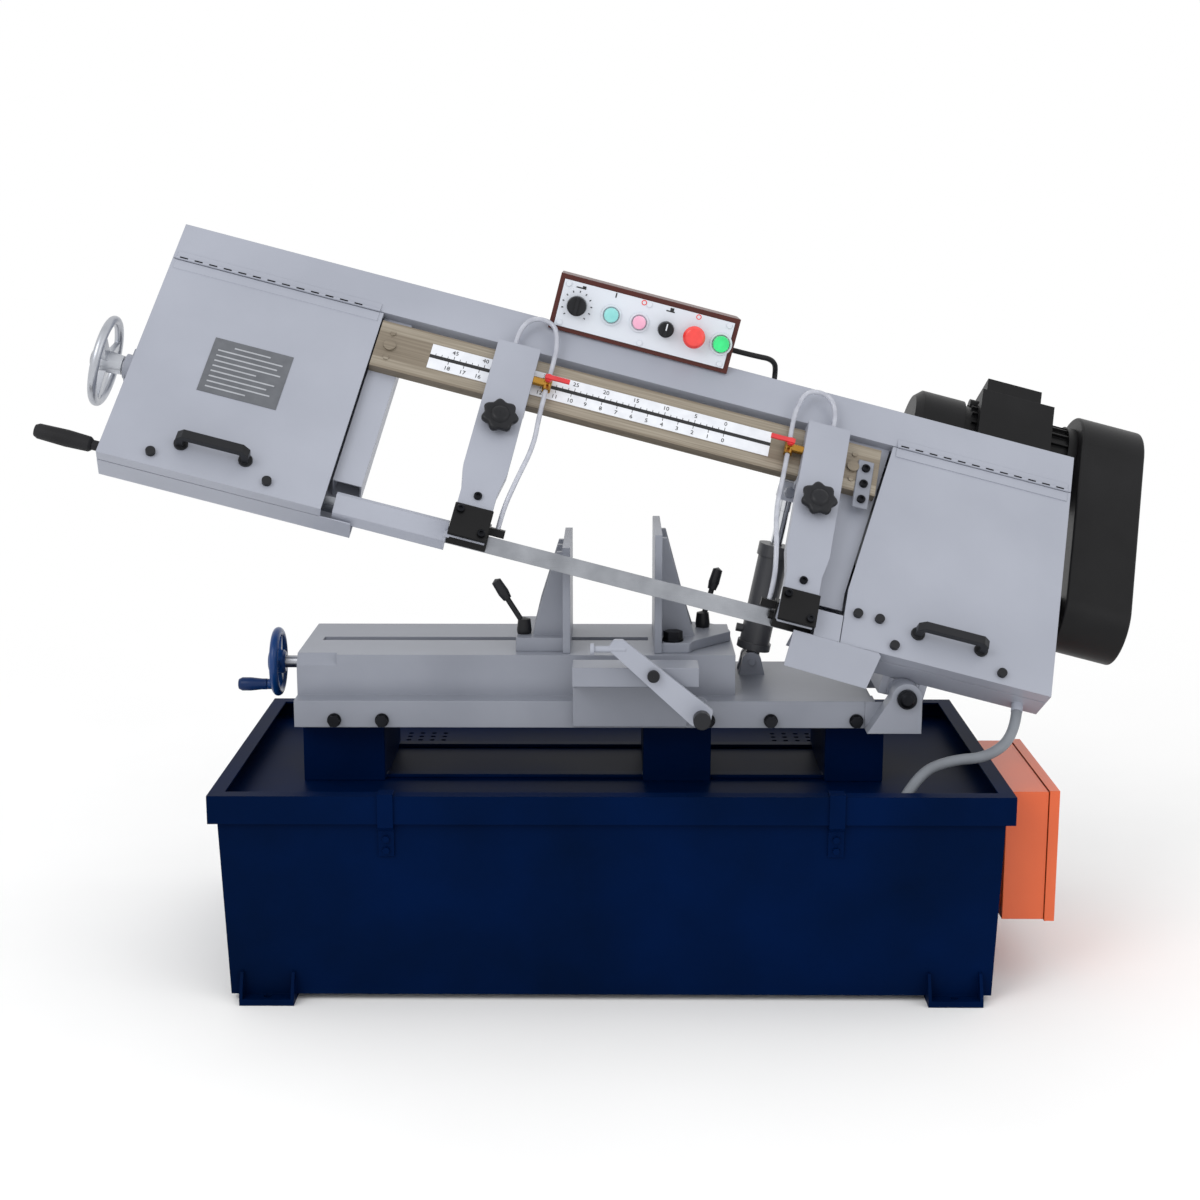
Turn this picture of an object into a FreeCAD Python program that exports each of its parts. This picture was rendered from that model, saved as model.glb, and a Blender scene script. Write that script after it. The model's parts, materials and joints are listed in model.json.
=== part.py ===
import FreeCAD, Part
import math
import os
import Sketcher
from FreeCAD import Placement, Rotation, Vector

# Horizontal metal-cutting band saw. Millimetres, +Z up, front at -Y, the floor at z = 0.
# The bow is modelled lying on its own axes and set at its raised rest angle by two frames:
#   UPRIGHT  x along the bow, y level to the rear, z square to the blade
#   RAKED    the same, leaned back about the blade line (covers, wheels, guide bar, arms)

os.makedirs("parts", exist_ok=True)
doc = FreeCAD.newDocument("BandSaw")

SIZES = (
    ("bow_rake", 40.0), ("bow_raise", 14.6), ("pivot_x", 457.0), ("pivot_z", 455.5),
    ("blade_front", 145.0), ("blade_lift", 62.0), ("blade_length", 3320.0),
    ("blade_width", 27.0), ("blade_thick", 0.9), ("wheel_dia", 320.0), ("wheel_wide", 28.0),
    ("wheel_left", 1118.0), ("wheel_axle", 30.0), ("run_fit", 0.05), ("guide_fit", 0.15),
    ("band_gap", 0.08),
    ("cover_left", 1294.0), ("cover_right", 215.0), ("cover_low", 31.0), ("cover_high", 422.0),
    ("cover_half", 33.0), ("door_high", 352.0), ("door_deep", 22.0), ("door_gap", 1.5),
    ("knuckle", 5.0), ("slant_low", 65.0), ("slant_top", 88.0),
    ("sheet", 2.0), ("frame_wall", 4.0), ("post_left", 897.0), ("post_right", 172.0),
    ("post_wide", 46.0), ("post_foot", 34.0), ("post_front", 16.9), ("post_face", 2.0),
    ("bar_low", 247.0), ("bar_high", 337.0), ("bar_thick", 16.0), ("bar_over", 20.0),
    ("bar_lip", 3.0), ("arm_front", 53.0), ("arm_thick", 17.9), ("arm_gap", 0.1),
    ("arm_wide", 70.0), ("arm_foot", 56.0), ("arm_high", 345.0), ("arm_low", 11.0),
    ("arm_left", 719.0), ("arm_right", 200.0), ("arm_knob_z", 193.0), ("knob_dia", 61.0),
    ("knob_deep", 24.0), ("stud_dia", 10.0), ("lug_dia", 48.0), ("shaft_dia", 30.0),
    ("lug_front", 192.0), ("lug_rear", 134.0), ("lug_thick", 32.0), ("tube_dia", 44.0),
    ("end_gap", 0.5), ("bed_left", 498.0), ("bed_right", 481.0), ("bed_low", 400.0),
    ("bed_high", 508.0), ("bed_front", 121.0), ("bed_rear", 116.0), ("bed_wall", 14.0),
    ("bed_top", 18.0), ("table_right", 196.0), ("flange_front", 159.0), ("flange_high", 443.0),
    ("slot_wide", 24.0), ("slot_left", 472.0), ("slot_right", 60.0),
    ("tray_long", 1222.0), ("tray_deep", 598.0), ("tray_high", 330.0), ("tray_low", 286.0),
    ("tray_floor", 300.0), ("tray_wall", 3.0), ("tray_lip", 24.0), ("tank_long", 1196.0),
    ("tank_foot", 1172.0), ("tank_deep", 580.0), ("tank_wall", 4.0), ("foot_thick", 10.0),
    ("foot_long", 84.0), ("foot_x", 528.0), ("foot_y", 299.0), ("foot_bore", 13.0),
    ("strap_x", 341.0), ("strap_wide", 24.0), ("cab_left", 616.0), ("cab_right", 682.0),
    ("cab_low", 100.0), ("cab_high", 309.0), ("cab_front", 200.0), ("cab_rear", 100.0),
    ("jaw_face", 65.0), ("jaw_high", 678.0), ("jaw_thick", 12.0), ("jaw_base", 22.0),
    ("jaw_deep", 110.0), ("fixed_face", 68.0), ("fixed_high", 698.0), ("swivel_x", 98.0),
    ("swivel_y", 86.0), ("swivel_dia", 20.0), ("swivel_arc", 130.0), ("screw_z", 469.0),
    ("screw_dia", 20.0), ("wheel_x", 548.0), ("hand_dia", 114.0), ("crank_out", 45.0),
    ("cyl_x", 232.0), ("cyl_y", 45.0), ("cyl_z", 425.0), ("cyl_dia", 50.0), ("cyl_bore", 40.0),
    ("rod_dia", 20.0), ("pin_dia", 12.0), ("eye_x", -236.0), ("eye_z", 178.0),
    ("panel_left", 683.0), ("panel_right", 381.0), ("panel_high", 424.0), ("panel_low", 332.0),
    ("panel_front", 86.0), ("panel_deep", 112.0), ("control_z", 378.0), ("button_fit", 0.1),
    ("motor_y", 120.0), ("motor_z", 504.0), ("motor_dia", 142.0), ("motor_left", -40.0),
    ("motor_right", 246.0), ("belt_deep", 112.0), ("belt_low", 64.0), ("belt_high", 94.0),
    ("gear_y", 95.0), ("gear_z", 200.0), ("tension_x", 1340.0), ("tension_z", 150.0), ("tension_dia", 146.0),
    ("grip_dia", 27.0), ("stop_x", 137.0), ("stop_z", 442.0), ("stop_y", 240.0),
    ("stop_dia", 16.0), ("relief", 44.0), ("chamfer", 63.0), ("arm_travel", 110.0),
    ("slot_run", 7.3), ("slot_side", 0.9), ("slot_lean", 16.6),
)
book = doc.addObject("Spreadsheet::Sheet", "Sizes")
for row, (word, number) in enumerate(SIZES, 1):
    book.set("A%d" % row, word)
    book.set("B%d" % row, repr(number))
    book.setAlias("B%d" % row, word)
doc.recompute()


class Size:
    """A length that carries its spreadsheet expression along with its value."""

    def __init__(self, text, value):
        self.text, self.value = text, value

    def __add__(self, other):
        other = size(other)
        return Size("(%s + %s)" % (self.text, other.text), self.value + other.value)

    def __sub__(self, other):
        other = size(other)
        return Size("(%s - %s)" % (self.text, other.text), self.value - other.value)

    def __mul__(self, other):
        other = size(other)
        return Size("%s * %s" % (self.text, other.text), self.value * other.value)

    def __truediv__(self, other):
        other = size(other)
        return Size("%s / %s" % (self.text, other.text), self.value / other.value)

    def __neg__(self):
        return Size("(0 - %s)" % self.text, -self.value)

    def __radd__(self, other):
        return size(other) + self

    def __rsub__(self, other):
        return size(other) - self

    def __rmul__(self, other):
        return size(other) * self


def size(value):
    return value if isinstance(value, Size) else Size("(%.6f)" % value, float(value))


class Book:
    pass


S = Book()
for word, number in SIZES:
    setattr(S, word, Size("Sizes.%s" % word, number))

AXES = {"x": Vector(1, 0, 0), "y": Vector(0, 1, 0), "z": Vector(0, 0, 1)}
FLAT = Placement()
UPRIGHT = (Placement(Vector(S.pivot_x.value, 0, S.pivot_z.value), Rotation(AXES["y"], S.bow_raise.value))
           * Placement(Vector(0, -S.blade_front.value, S.blade_lift.value), Rotation()))
LEAN = Placement(Vector(), Rotation(AXES["x"], -S.bow_rake.value))
RAKED = UPRIGHT * LEAN
nodes = []
count = {}


def fresh(stem):
    count[stem] = count.get(stem, 0) + 1
    return "%s_%03d" % (stem, count[stem])


def bind(thing, prop, value):
    thing.setExpression(prop, size(value).text)


def put(thing, x, y, z):
    for letter, value in zip("xyz", (x, y, z)):
        bind(thing, ".Placement.Base." + letter, value)
    return thing


def box(x0, x1, y0, y1, z0, z1):
    """Block between two corners."""
    made = doc.addObject("Part::Box", fresh("Block"))
    x0, x1, y0, y1, z0, z1 = [size(v) for v in (x0, x1, y0, y1, z0, z1)]
    for prop, low, high in (("Length", x0, x1), ("Width", y0, y1), ("Height", z0, z1)):
        bind(made, prop, high - low)
    return put(made, x0, y0, z0)


def cyl(axis, dia, start, end, *centre):
    """Round bar along x, y or z from start to end; centre is its two other coordinates."""
    made = doc.addObject("Part::Cylinder", fresh("Round"))
    made.Placement = Placement(Vector(), Rotation(AXES["z"], AXES[axis]))
    bind(made, "Radius", size(dia) / 2)
    bind(made, "Height", size(end) - start)
    spot = list(centre)
    spot.insert("xyz".index(axis), start)
    return put(made, *spot)


def cone(axis, dia0, dia1, start, end, *centre):
    made = doc.addObject("Part::Cone", fresh("Taper"))
    made.Placement = Placement(Vector(), Rotation(AXES["z"], AXES[axis]))
    bind(made, "Radius1", size(dia0) / 2)
    bind(made, "Radius2", size(dia1) / 2)
    bind(made, "Height", size(end) - start)
    spot = list(centre)
    spot.insert("xyz".index(axis), start)
    return put(made, *spot)


def ball(dia, x, y, z):
    made = doc.addObject("Part::Sphere", fresh("Ball"))
    bind(made, "Radius", size(dia) / 2)
    return put(made, x, y, z)


def fuse(*things, frame=None):
    made = doc.addObject("Part::MultiFuse", fresh("Joined"))
    made.Shapes = list(things)
    made.Refine = True
    if frame:
        made.Placement = frame
    return made


def cut(base, *tools):
    """base less every tool."""
    made = doc.addObject("Part::Cut", fresh("Cut"))
    made.Base = base
    made.Tool = tools[0] if len(tools) == 1 else fuse(*tools)
    made.Refine = True
    return made


def common(one, other):
    made = doc.addObject("Part::MultiCommon", fresh("Shared"))
    made.Shapes = [one, other]
    return made


def sketch(body, role, points, circles=()):
    made = body.newObject("Sketcher::SketchObject", fresh("Sketch"))
    plane = [f for f in body.Origin.OriginFeatures if f.Role == role][0]
    made.AttachmentSupport = [(plane, "")]
    made.MapMode = "FlatFace"
    points = [(size(a), size(b)) for a, b in points]
    spots = [Vector(a.value, b.value, 0) for a, b in points]
    for i, spot in enumerate(spots):
        made.addGeometry(Part.LineSegment(spot, spots[(i + 1) % len(spots)]), False)
    for i in range(len(spots)):
        made.addConstraint(Sketcher.Constraint("Coincident", i, 2, (i + 1) % len(spots), 1))

    def pin(kind, index, point, value):
        k = made.addConstraint(Sketcher.Constraint(kind, -1, 1, index, point, value.value))
        made.setExpression("Constraints[%d]" % k, value.text)
    for i, (a, b) in enumerate(points):
        pin("DistanceX", i, 1, a)
        pin("DistanceY", i, 1, b)
    for a, b, dia in circles:
        a, b, dia = size(a), size(b), size(dia)
        i = made.addGeometry(Part.Circle(Vector(a.value, b.value, 0), Vector(0, 0, 1), dia.value / 2), False)
        pin("DistanceX", i, 3, a)
        pin("DistanceY", i, 3, b)
        k = made.addConstraint(Sketcher.Constraint("Diameter", i, dia.value))
        made.setExpression("Constraints[%d]" % k, dia.text)
    return made


def soften(body, base, radius, pick):
    """Round the edges of a feature that pick() accepts."""
    doc.recompute()
    names = ["Edge%d" % (i + 1) for i, e in enumerate(base.Shape.Edges) if pick(e)]
    made = body.newObject("PartDesign::Fillet", fresh("Soft"))
    made.Base = (base, names)
    bind(made, "Radius", radius)
    return made


def along(letter):
    """Picks straight edges that run along an axis."""
    def pick(edge):
        if not isinstance(edge.Curve, Part.Line):
            return False
        return abs(edge.tangentAt(edge.FirstParameter).dot(AXES[letter])) > 0.999
    return pick


def plate(axis, points, start, end, circles=(), soft=None, pick=None):
    """Sketch swept along an axis. Its points are (y, z), (x, z) or (x, y), for x, y and z."""
    start, end = size(start), size(end)
    body = doc.addObject("PartDesign::Body", fresh("Plate"))
    role = {"x": "YZ_Plane", "y": "XZ_Plane", "z": "XY_Plane"}[axis]
    pad = body.newObject("PartDesign::Pad", fresh("Pad"))
    pad.Profile = sketch(body, role, points, circles)
    bind(pad, "Length", end - start)
    pad.Reversed = axis == "y"
    body.Tip = pad
    if soft:
        body.Tip = soften(body, pad, soft, pick or along(axis))
    bind(body, ".Placement.Base." + axis, start)
    return body


def turned(axis, points, *spot):
    """Profile of (radius, station) points turned about an axis, then set at spot."""
    body = doc.addObject("PartDesign::Body", fresh("Turned"))
    spin = body.newObject("PartDesign::Revolution", fresh("Spin"))
    outline = sketch(body, "XZ_Plane", points)
    spin.Profile = outline
    spin.ReferenceAxis = (outline, ["V_Axis"])
    spin.Angle = 360
    body.Tip = spin
    body.Placement = Placement(Vector(), Rotation(AXES["z"], AXES[axis]))
    if spot:
        put(body, *spot)
    return body


def ring(axis, outer, inner, start, end, *centre):
    return cut(cyl(axis, outer, start, end, *centre), cyl(axis, inner, size(start) - 1, size(end) + 1, *centre))


def hexagon(axis, flats, start, end, a, b):
    """Six-sided bolt head."""
    far = flats / math.sqrt(3)
    points = [(size(a) + far * math.cos(math.radians(60 * i)), size(b) + far * math.sin(math.radians(60 * i)))
              for i in range(6)]
    return plate(axis, points, start, end)


def hose(points, dia, frame):
    """Round hose along straight runs joined by tangent arcs."""
    spots = [Vector(*p) for p in points]
    edges, last = [], spots[0]
    for i in range(1, len(spots) - 1):
        back, on = spots[i - 1] - spots[i], spots[i + 1] - spots[i]
        trim = 0.45 * min(back.Length, on.Length)
        one, two = spots[i] + back.normalize() * trim, spots[i] + on.normalize() * trim
        half = (math.pi - back.getAngle(on)) / 2
        radius = trim / math.tan(half)
        print("bend radius %.0f on a %.0f mm hose" % (radius, dia))
        middle = (back + on).normalize()
        heart = spots[i] + middle * (radius / math.cos(half))
        edges.append(Part.LineSegment(last, one).toShape())
        edges.append(Part.Arc(one, heart - middle * radius, two).toShape())
        last = two
    edges.append(Part.LineSegment(last, spots[-1]).toShape())
    spine = Part.Wire(edges)
    mouth = Part.Wire([Part.Circle(spots[0], spots[1] - spots[0], dia / 2).toShape()])
    made = doc.addObject("Part::Feature", fresh("Hose"))
    made.Shape = spine.makePipeShell([mouth], True, False)
    made.Placement = frame
    return made


def reframe(thing, frame):
    """Carry a piece from its own axes into another frame."""
    doc.recompute()
    spot = thing.Placement
    for letter in "xyz":
        thing.setExpression(".Placement.Base." + letter, None)
    thing.Placement = frame * spot
    return thing


def node(label, thing, frame=FLAT):
    """Give a finished piece its name and its place."""
    if frame is not FLAT:
        reframe(thing, frame)
    thing.Label = label
    nodes.append(thing)
    return thing


# ---------------------------------------------------------------- tank with its feet, and tray
def tapered(inset, low, high):
    made = doc.addObject("Part::Wedge", fresh("Wedge"))
    made.Placement = Placement(Vector(), Rotation(AXES["x"], 90))
    bottom, top = S.tank_foot / 2 - inset, S.tank_long / 2 - inset
    deep = S.tank_deep / 2 - inset
    for prop, value in (("Xmin", -bottom), ("Xmax", bottom), ("X2min", -top), ("X2max", top),
                        ("Ymin", low), ("Ymax", high), ("Zmin", -deep), ("Zmax", deep),
                        ("Z2min", -deep), ("Z2max", deep)):
        bind(made, prop, value)
    return made


tank_high = S.tray_floor - S.tray_wall
webs = []
for x in (-427, 105, 388):
    web = box(x - 3, x + 3, -S.tank_deep / 2 + 1, S.tank_deep / 2 - 1, S.foot_thick + 1, tank_high)
    webs.append(cut(web, cyl("x", 130, x - 5, x + 5, -140, 150), cyl("x", 130, x - 5, x + 5, 140, 150)))
shell = cut(tapered(0, S.foot_thick, tank_high), tapered(S.tank_wall, S.foot_thick + S.tank_wall, tank_high + 1))
lip = cut(box(-S.tank_long / 2 + 1, S.tank_long / 2 - 1, -S.tank_deep / 2 + 1, S.tank_deep / 2 - 1,
              tank_high - S.tank_wall, tank_high),
          box(-S.tank_long / 2 + 34, S.tank_long / 2 - 34, -S.tank_deep / 2 + 34, S.tank_deep / 2 - 34,
              tank_high - 10, tank_high + 1))

half_long, half_deep = S.tray_long / 2, S.tray_deep / 2
band = cut(box(-half_long, half_long, -half_deep, half_deep, S.tray_low, S.tray_high),
           box(-half_long + S.tray_wall, half_long - S.tray_wall, -half_deep + S.tray_wall,
               half_deep - S.tray_wall, S.tray_low - 1, S.tray_high + 1))
rim = cut(box(-half_long + 1, half_long - 1, -half_deep + 1, half_deep - 1,
              S.tray_high - S.tray_wall, S.tray_high),
          box(-half_long + S.tray_lip, half_long - S.tray_lip, -half_deep + S.tray_lip,
              half_deep - S.tray_lip, S.tray_high - 10, S.tray_high + 1))
floor = box(-half_long + 1, half_long - 1, -half_deep + 1, half_deep - 1, tank_high, S.tray_floor)
drains = [cyl("z", 9, tank_high - 5, S.tray_floor + 5, x + dx, 150 + dy)
          for x in (-320, 311) for dx in (-30, -10, 10, 30) for dy in (-22, 0, 22)]
node("chip_tray", cut(fuse(band, rim, floor), *drains))

feet = []
for sx in (-1, 1):
    for sy in (-1, 1):
        x, y = S.foot_x * sx, S.foot_y * sy
        edge = S.tank_deep / 2 * sy
        out, back = edge + 24 * sy, edge - 40 * sy
        pad = plate("z", [(x - S.foot_long / 2, out), (x + S.foot_long / 2, out),
                          (x + S.foot_long / 2, back), (x - S.foot_long / 2, back)], 0, S.foot_thick)
        feet.append(cut(pad, cyl("z", S.foot_bore, -1, S.foot_thick + 1, x, y)))
        for side in (-S.foot_long / 2, S.foot_long / 2 - 5):
            feet.append(plate("x", [(edge, S.foot_thick - 1), (out, S.foot_thick - 1),
                                    (out - 4 * sy, S.foot_thick + 12), (edge + 6 * sy, S.foot_thick + 38),
                                    (edge, S.foot_thick + 38)],
                              x + side, x + side + 5))
node("tank", fuse(shell, lip, *webs, *feet))

straps = []
for sx in (-1, 1):
    for sy in (-1, 1):
        x = S.strap_x * sx
        rim_y, wall_y = half_deep * sy, S.tank_deep / 2 * sy
        left, right = x - S.strap_wide / 2, x + S.strap_wide / 2
        straps.append(plate("x", [(rim_y - 22 * sy, S.tray_high), (rim_y, S.tray_high), (rim_y, S.tray_low),
                                  (wall_y, S.tray_low - 10), (wall_y, S.tray_low - 52),
                                  (wall_y + 4 * sy, S.tray_low - 52), (wall_y + 4 * sy, S.tray_low - 12),
                                  (rim_y + 4 * sy, S.tray_low - 4), (rim_y + 4 * sy, S.tray_high + 4),
                                  (rim_y - 22 * sy, S.tray_high + 4)], left, right))
        face = wall_y + 4 * sy
        for step in (24, 42):
            low, high = (face, face + 5) if sy > 0 else (face - 5, face)
            straps.append(hexagon("y", 10, low, high, x, S.tray_low - step))
node("tray_straps", fuse(*straps))

# ---------------------------------------------------------------- cabinet on the right-hand wall
cab = cut(box(S.cab_left, S.cab_right, -S.cab_front, S.cab_rear, S.cab_low, S.cab_high),
          box(S.cab_left + 3, S.cab_right + 5, -S.cab_front + 3, S.cab_rear - 3, S.cab_low + 3, S.cab_high - 3))
stand = box(S.tank_foot / 2, S.cab_left + 1, -S.cab_front + 30, S.cab_rear - 30, S.cab_low + 10,
            S.tray_low - 16)
node("electrical_cabinet", cut(fuse(cab, stand), tapered(0, S.foot_thick, tank_high)))
door_x = S.cab_right + S.end_gap
door = cut(box(door_x, door_x + 16, -S.cab_front - 2, S.cab_rear + 2, S.cab_low - 2, S.cab_high + 2),
           box(door_x - 1, door_x + 14, -S.cab_front, S.cab_rear, S.cab_low, S.cab_high))
node("cabinet_door", fuse(door, cyl("x", 18, door_x + 15, door_x + 22, S.cab_rear - 24, 190),
                          box(door_x + 15, door_x + 26, S.cab_rear - 26, S.cab_rear - 22, 180, 200)))

# ---------------------------------------------------------------- pedestals and bed
stools = []
for left, right in ((-492, -362), (51, 159), (341, 434)):
    shell = cut(box(left, right, -116, 108, S.tray_floor, S.bed_low),
                box(left + 8, right - 8, -108, 100, S.tray_floor - 1, S.bed_low - 8))
    stools.append(shell)
for y in (-100, 80):
    stools.append(box(-492, 434, y, y + 20, S.tray_floor, S.tray_floor + 6))
node("bed_pedestals", fuse(*stools))

table = cut(box(-S.bed_left, S.table_right, -S.bed_front, S.bed_rear, S.bed_low, S.bed_high),
            box(-S.bed_left + S.bed_wall, S.table_right - S.bed_wall, -S.bed_front + S.bed_wall,
                S.bed_rear - S.bed_wall, S.bed_low - 1, S.bed_high - S.bed_top))
frame_inner = S.bed_right - 86
flange = cut(box(-S.bed_left, S.bed_right, -S.flange_front, -S.bed_front + 1, S.bed_low, S.flange_high),
             box(-S.bed_left + S.bed_wall, S.bed_right - S.bed_wall, -S.flange_front + 12, -S.bed_front,
                 S.bed_low - 1, S.flange_high - 12))
rails = cut(box(S.table_right - 1, S.bed_right, -S.bed_front, S.bed_rear, S.bed_low, S.flange_high),
            box(S.table_right - 1, frame_inner, -S.bed_front + S.bed_wall, S.bed_rear - S.bed_wall,
                S.bed_low - 1, S.flange_high - 14),
            box(frame_inner + S.bed_wall, S.bed_right + 1, -S.bed_front - 3, S.bed_rear - S.bed_wall,
                S.bed_low - 1, S.flange_high + 1))
front_lug = (-S.lug_front, -S.lug_front + S.lug_thick)
rear_lug = (S.lug_rear - S.lug_thick, S.lug_rear)
lugs = [cyl("y", S.lug_dia, front_lug[0], front_lug[1], S.pivot_x, S.pivot_z),
        cyl("y", S.lug_dia, rear_lug[0], rear_lug[1], S.pivot_x, S.pivot_z),
        plate("y", [(S.pivot_x - S.lug_dia / 2, S.pivot_z), (S.pivot_x + S.lug_dia / 2, S.pivot_z),
                    (S.bed_right, S.bed_low), (S.pivot_x - 60, S.bed_low)], front_lug[0], front_lug[1]),
        plate("y", [(S.pivot_x - S.lug_dia / 2, S.pivot_z), (S.pivot_x + S.lug_dia / 2, S.pivot_z),
                    (S.bed_right, S.bed_low), (S.pivot_x - 60, S.bed_low)], rear_lug[0], rear_lug[1]),
        box(S.pivot_x - 60, S.bed_right, -S.flange_front - 2, -S.flange_front + 2, S.bed_low, S.flange_high)]
relief = box(S.pivot_x - S.relief, S.bed_right + 1, -S.lug_front + S.lug_thick, -S.bed_front + S.bed_wall + 1,
             S.flange_high - 19, S.pivot_z)
chamfer = plate("x", [(-S.bed_front - 2, S.bed_high - 19), (-S.bed_front - 2, S.bed_high + 2),
                      (-S.bed_front + 16, S.bed_high + 2)], -S.bed_left - 1, -S.bed_left + S.chamfer)
bore = cyl("y", S.shaft_dia + 2 * S.run_fit, -S.lug_front - 1, S.lug_rear + 1, S.pivot_x, S.pivot_z)
slots = [box(-S.slot_left, S.slot_right, -S.slot_wide / 2, S.slot_wide / 2, S.bed_high - S.bed_top - 5, S.bed_high + 1),
         cyl("x", S.screw_dia + 2 * S.run_fit, -S.bed_left - 20, -S.bed_left + 40, 0, S.screw_z)]
boss = [cyl("x", 44, -S.bed_left - 8, -S.bed_left + 4, 0, S.screw_z)]
# the lifting cylinder's two ears stand on the rear of the bed, either side of its foot
ears = []
for y0, y1 in ((S.cyl_y - 26, S.cyl_y - 14), (S.cyl_y + 14, S.cyl_y + 26)):
    ears.append(cyl("y", 32, y0, y1, S.cyl_x, S.cyl_z + 40))
    ears.append(plate("y", [(S.cyl_x - 16, S.cyl_z + 40), (S.cyl_x + 16, S.cyl_z + 40),
                            (S.cyl_x + 22, S.flange_high - 2), (S.cyl_x - 22, S.flange_high - 2)], y0, y1))
ear_pin = cyl("y", S.pin_dia, S.cyl_y - 30, S.cyl_y + 30, S.cyl_x, S.cyl_z + 40)
swivel_hole = cyl("z", S.swivel_dia, S.bed_high - S.bed_top - 1, S.bed_high + 1, S.swivel_x, -S.swivel_y)
rod = [cyl("y", S.stop_dia, -S.stop_y - 12, -S.flange_front + 1, S.stop_x, S.stop_z),
       cyl("y", 26, -S.flange_front - 6, -S.flange_front + 1, S.stop_x, S.stop_z - 2)]
casting = cut(fuse(table, flange, rails, *lugs, *boss, *ears), bore, relief, chamfer, *slots, swivel_hole)
node("bed", fuse(*rod, casting, ear_pin))

bolts = []
for x, z in ((-435, 412), (384, 412), (-360, 412), (152, 412), (250, 412)):
    bolts.append(cyl("y", 22, -S.flange_front - 3, -S.flange_front, x, z))
    bolts.append(hexagon("y", 17, -S.flange_front - 12, -S.flange_front - 3, x, z))
node("bed_bolts", fuse(*bolts))

shelf = plate("x", [(-225, 512), (-169, 512), (-166, 507), (-159, 507), (-159, 405), (-172, 405), (-176, 470),
                    (-200, 480), (-225, 482)], -60, 118)
apron = plate("x", [(-225, 512), (-169, 512), (-166, 507), (-159, 507), (-159, 482), (-225, 482)], 117, 134)
node("work_shelf", fuse(shelf, apron))

stop_z2 = 550
arm = plate("y", [(S.stop_x - 14, S.stop_z - 16), (S.stop_x + 14, S.stop_z - 12), (S.stop_x + 18, S.stop_z + 8),
                  (18, stop_z2 + 10), (4, stop_z2 + 10), (-6, stop_z2 - 4)], -S.stop_y - 4, -S.stop_y + 4,
            circles=[(S.stop_x, S.stop_z, S.stop_dia + 2 * S.run_fit)], soft=5)
node("stop_arm", fuse(arm, cyl("x", 10, -26, 22, -S.stop_y, 545), cyl("x", 18, -32, -26, -S.stop_y, 545)))
node("stop_knob", fuse(cyl("y", 8, -S.stop_y - 24, -S.stop_y - 12, S.stop_x, S.stop_z),
                       cyl("y", 27, -S.stop_y - 40, -S.stop_y - 20, S.stop_x, S.stop_z)))

node("pivot_shaft", fuse(cyl("y", S.shaft_dia, -S.lug_front - 8, S.lug_rear + 8, S.pivot_x, S.pivot_z),
                         cone("y", 16, 24, -S.lug_front - 12, -S.lug_front - 8, S.pivot_x, S.pivot_z)))

# ---------------------------------------------------------------- vice
gap = S.end_gap / 5
back = -S.jaw_face - S.jaw_thick
jaw_low = S.bed_high + gap
jaw = fuse(box(back, -S.jaw_face, -S.jaw_deep, S.jaw_deep - 20, jaw_low, S.jaw_high),
           box(back - 75, -S.jaw_face - 1, -S.jaw_deep + 16, S.jaw_deep - 36, jaw_low, jaw_low + S.jaw_base),
           *[plate("y", [(back + 1, jaw_low + 10), (back + 1, S.jaw_high - 14), (back - 10, S.jaw_high - 14),
                         (back - 40, jaw_low + 60), (back - 52, jaw_low + 10)], y, y + 12) for y in (-70, 0, 50)],
           box(back - 60, back - 10, -S.slot_wide / 2 + 0.3, S.slot_wide / 2 - 0.3, 479, jaw_low + 5),
           box(back - 60, back - 10, -26, 26, 449, 489))
tap = cyl("x", S.screw_dia + 2 * S.run_fit, back - 80, -S.jaw_face + 10, 0, S.screw_z)
lever_x = back - 63
socket = 8 + 2 * S.run_fit
base_top = jaw_low + S.jaw_base
node("movable_jaw", cut(jaw, tap, cyl("z", socket, base_top - 9, base_top + 1, lever_x, -60)))
screw = fuse(cyl("x", S.screw_dia, -S.wheel_x, S.slot_right + 20, 0, S.screw_z),
             ring("x", 34, 10, -S.bed_left + S.bed_wall + 0.5, -S.bed_left + S.bed_wall + 8, 0, S.screw_z))
node("vise_screw", screw)
rim_x = -S.wheel_x
wheel = [ring("x", S.hand_dia, S.hand_dia - 22, rim_x - 9, rim_x + 9, 0, S.screw_z),
         cut(cyl("x", 40, rim_x - 16, rim_x + 14, 0, S.screw_z), cyl("x", S.screw_dia, rim_x, rim_x + 20, 0, S.screw_z)),
         box(rim_x - 5, rim_x + 5, -7, 7, S.screw_z + 16, S.screw_z + 52)]
for turn in (120, 240):
    spoke = box(rim_x - 5, rim_x + 5, -7, 7, 16, 52)
    wheel.append(reframe(spoke, Placement(Vector(0, 0, S.screw_z.value), Rotation(AXES["x"], turn))))
wheel.append(cyl("x", 10, rim_x - 50, rim_x - 4, -34, S.screw_z - 30))
wheel.append(cyl("x", 18, rim_x - 12, rim_x - 4, -34, S.screw_z - 30))
node("vise_handwheel", fuse(*wheel))
node("crank_grip", cut(turned("x", [(0, -60), (8, -60), (11, -54), (11, -40), (9, -22), (9, -13), (0, -13)],
                              rim_x, -34, S.screw_z - 30),
                       cyl("x", 10 + 2 * S.run_fit, rim_x - 50.5, rim_x, -34, S.screw_z - 30)))


def lever(x, y, z, lean, turn):
    """Ratchet clamp lever on a stud, foot on z."""
    arm = fuse(cyl("z", 9, 0, 58, 0, 0), turned("z", [(0, 50), (7, 50), (9, 62), (8, 84), (0, 88)]),
               frame=Placement(Vector(0, 0, 14), Rotation(AXES["z"], turn) * Rotation(AXES["y"], lean)))
    base = turned("z", [(0, 0), (11, 0), (12, 6), (10, 24), (0, 27)])
    return fuse(base, arm, cyl("z", 8, -8, 2, 0, 0), frame=Placement(Vector(x, y, z), Rotation()))


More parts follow.
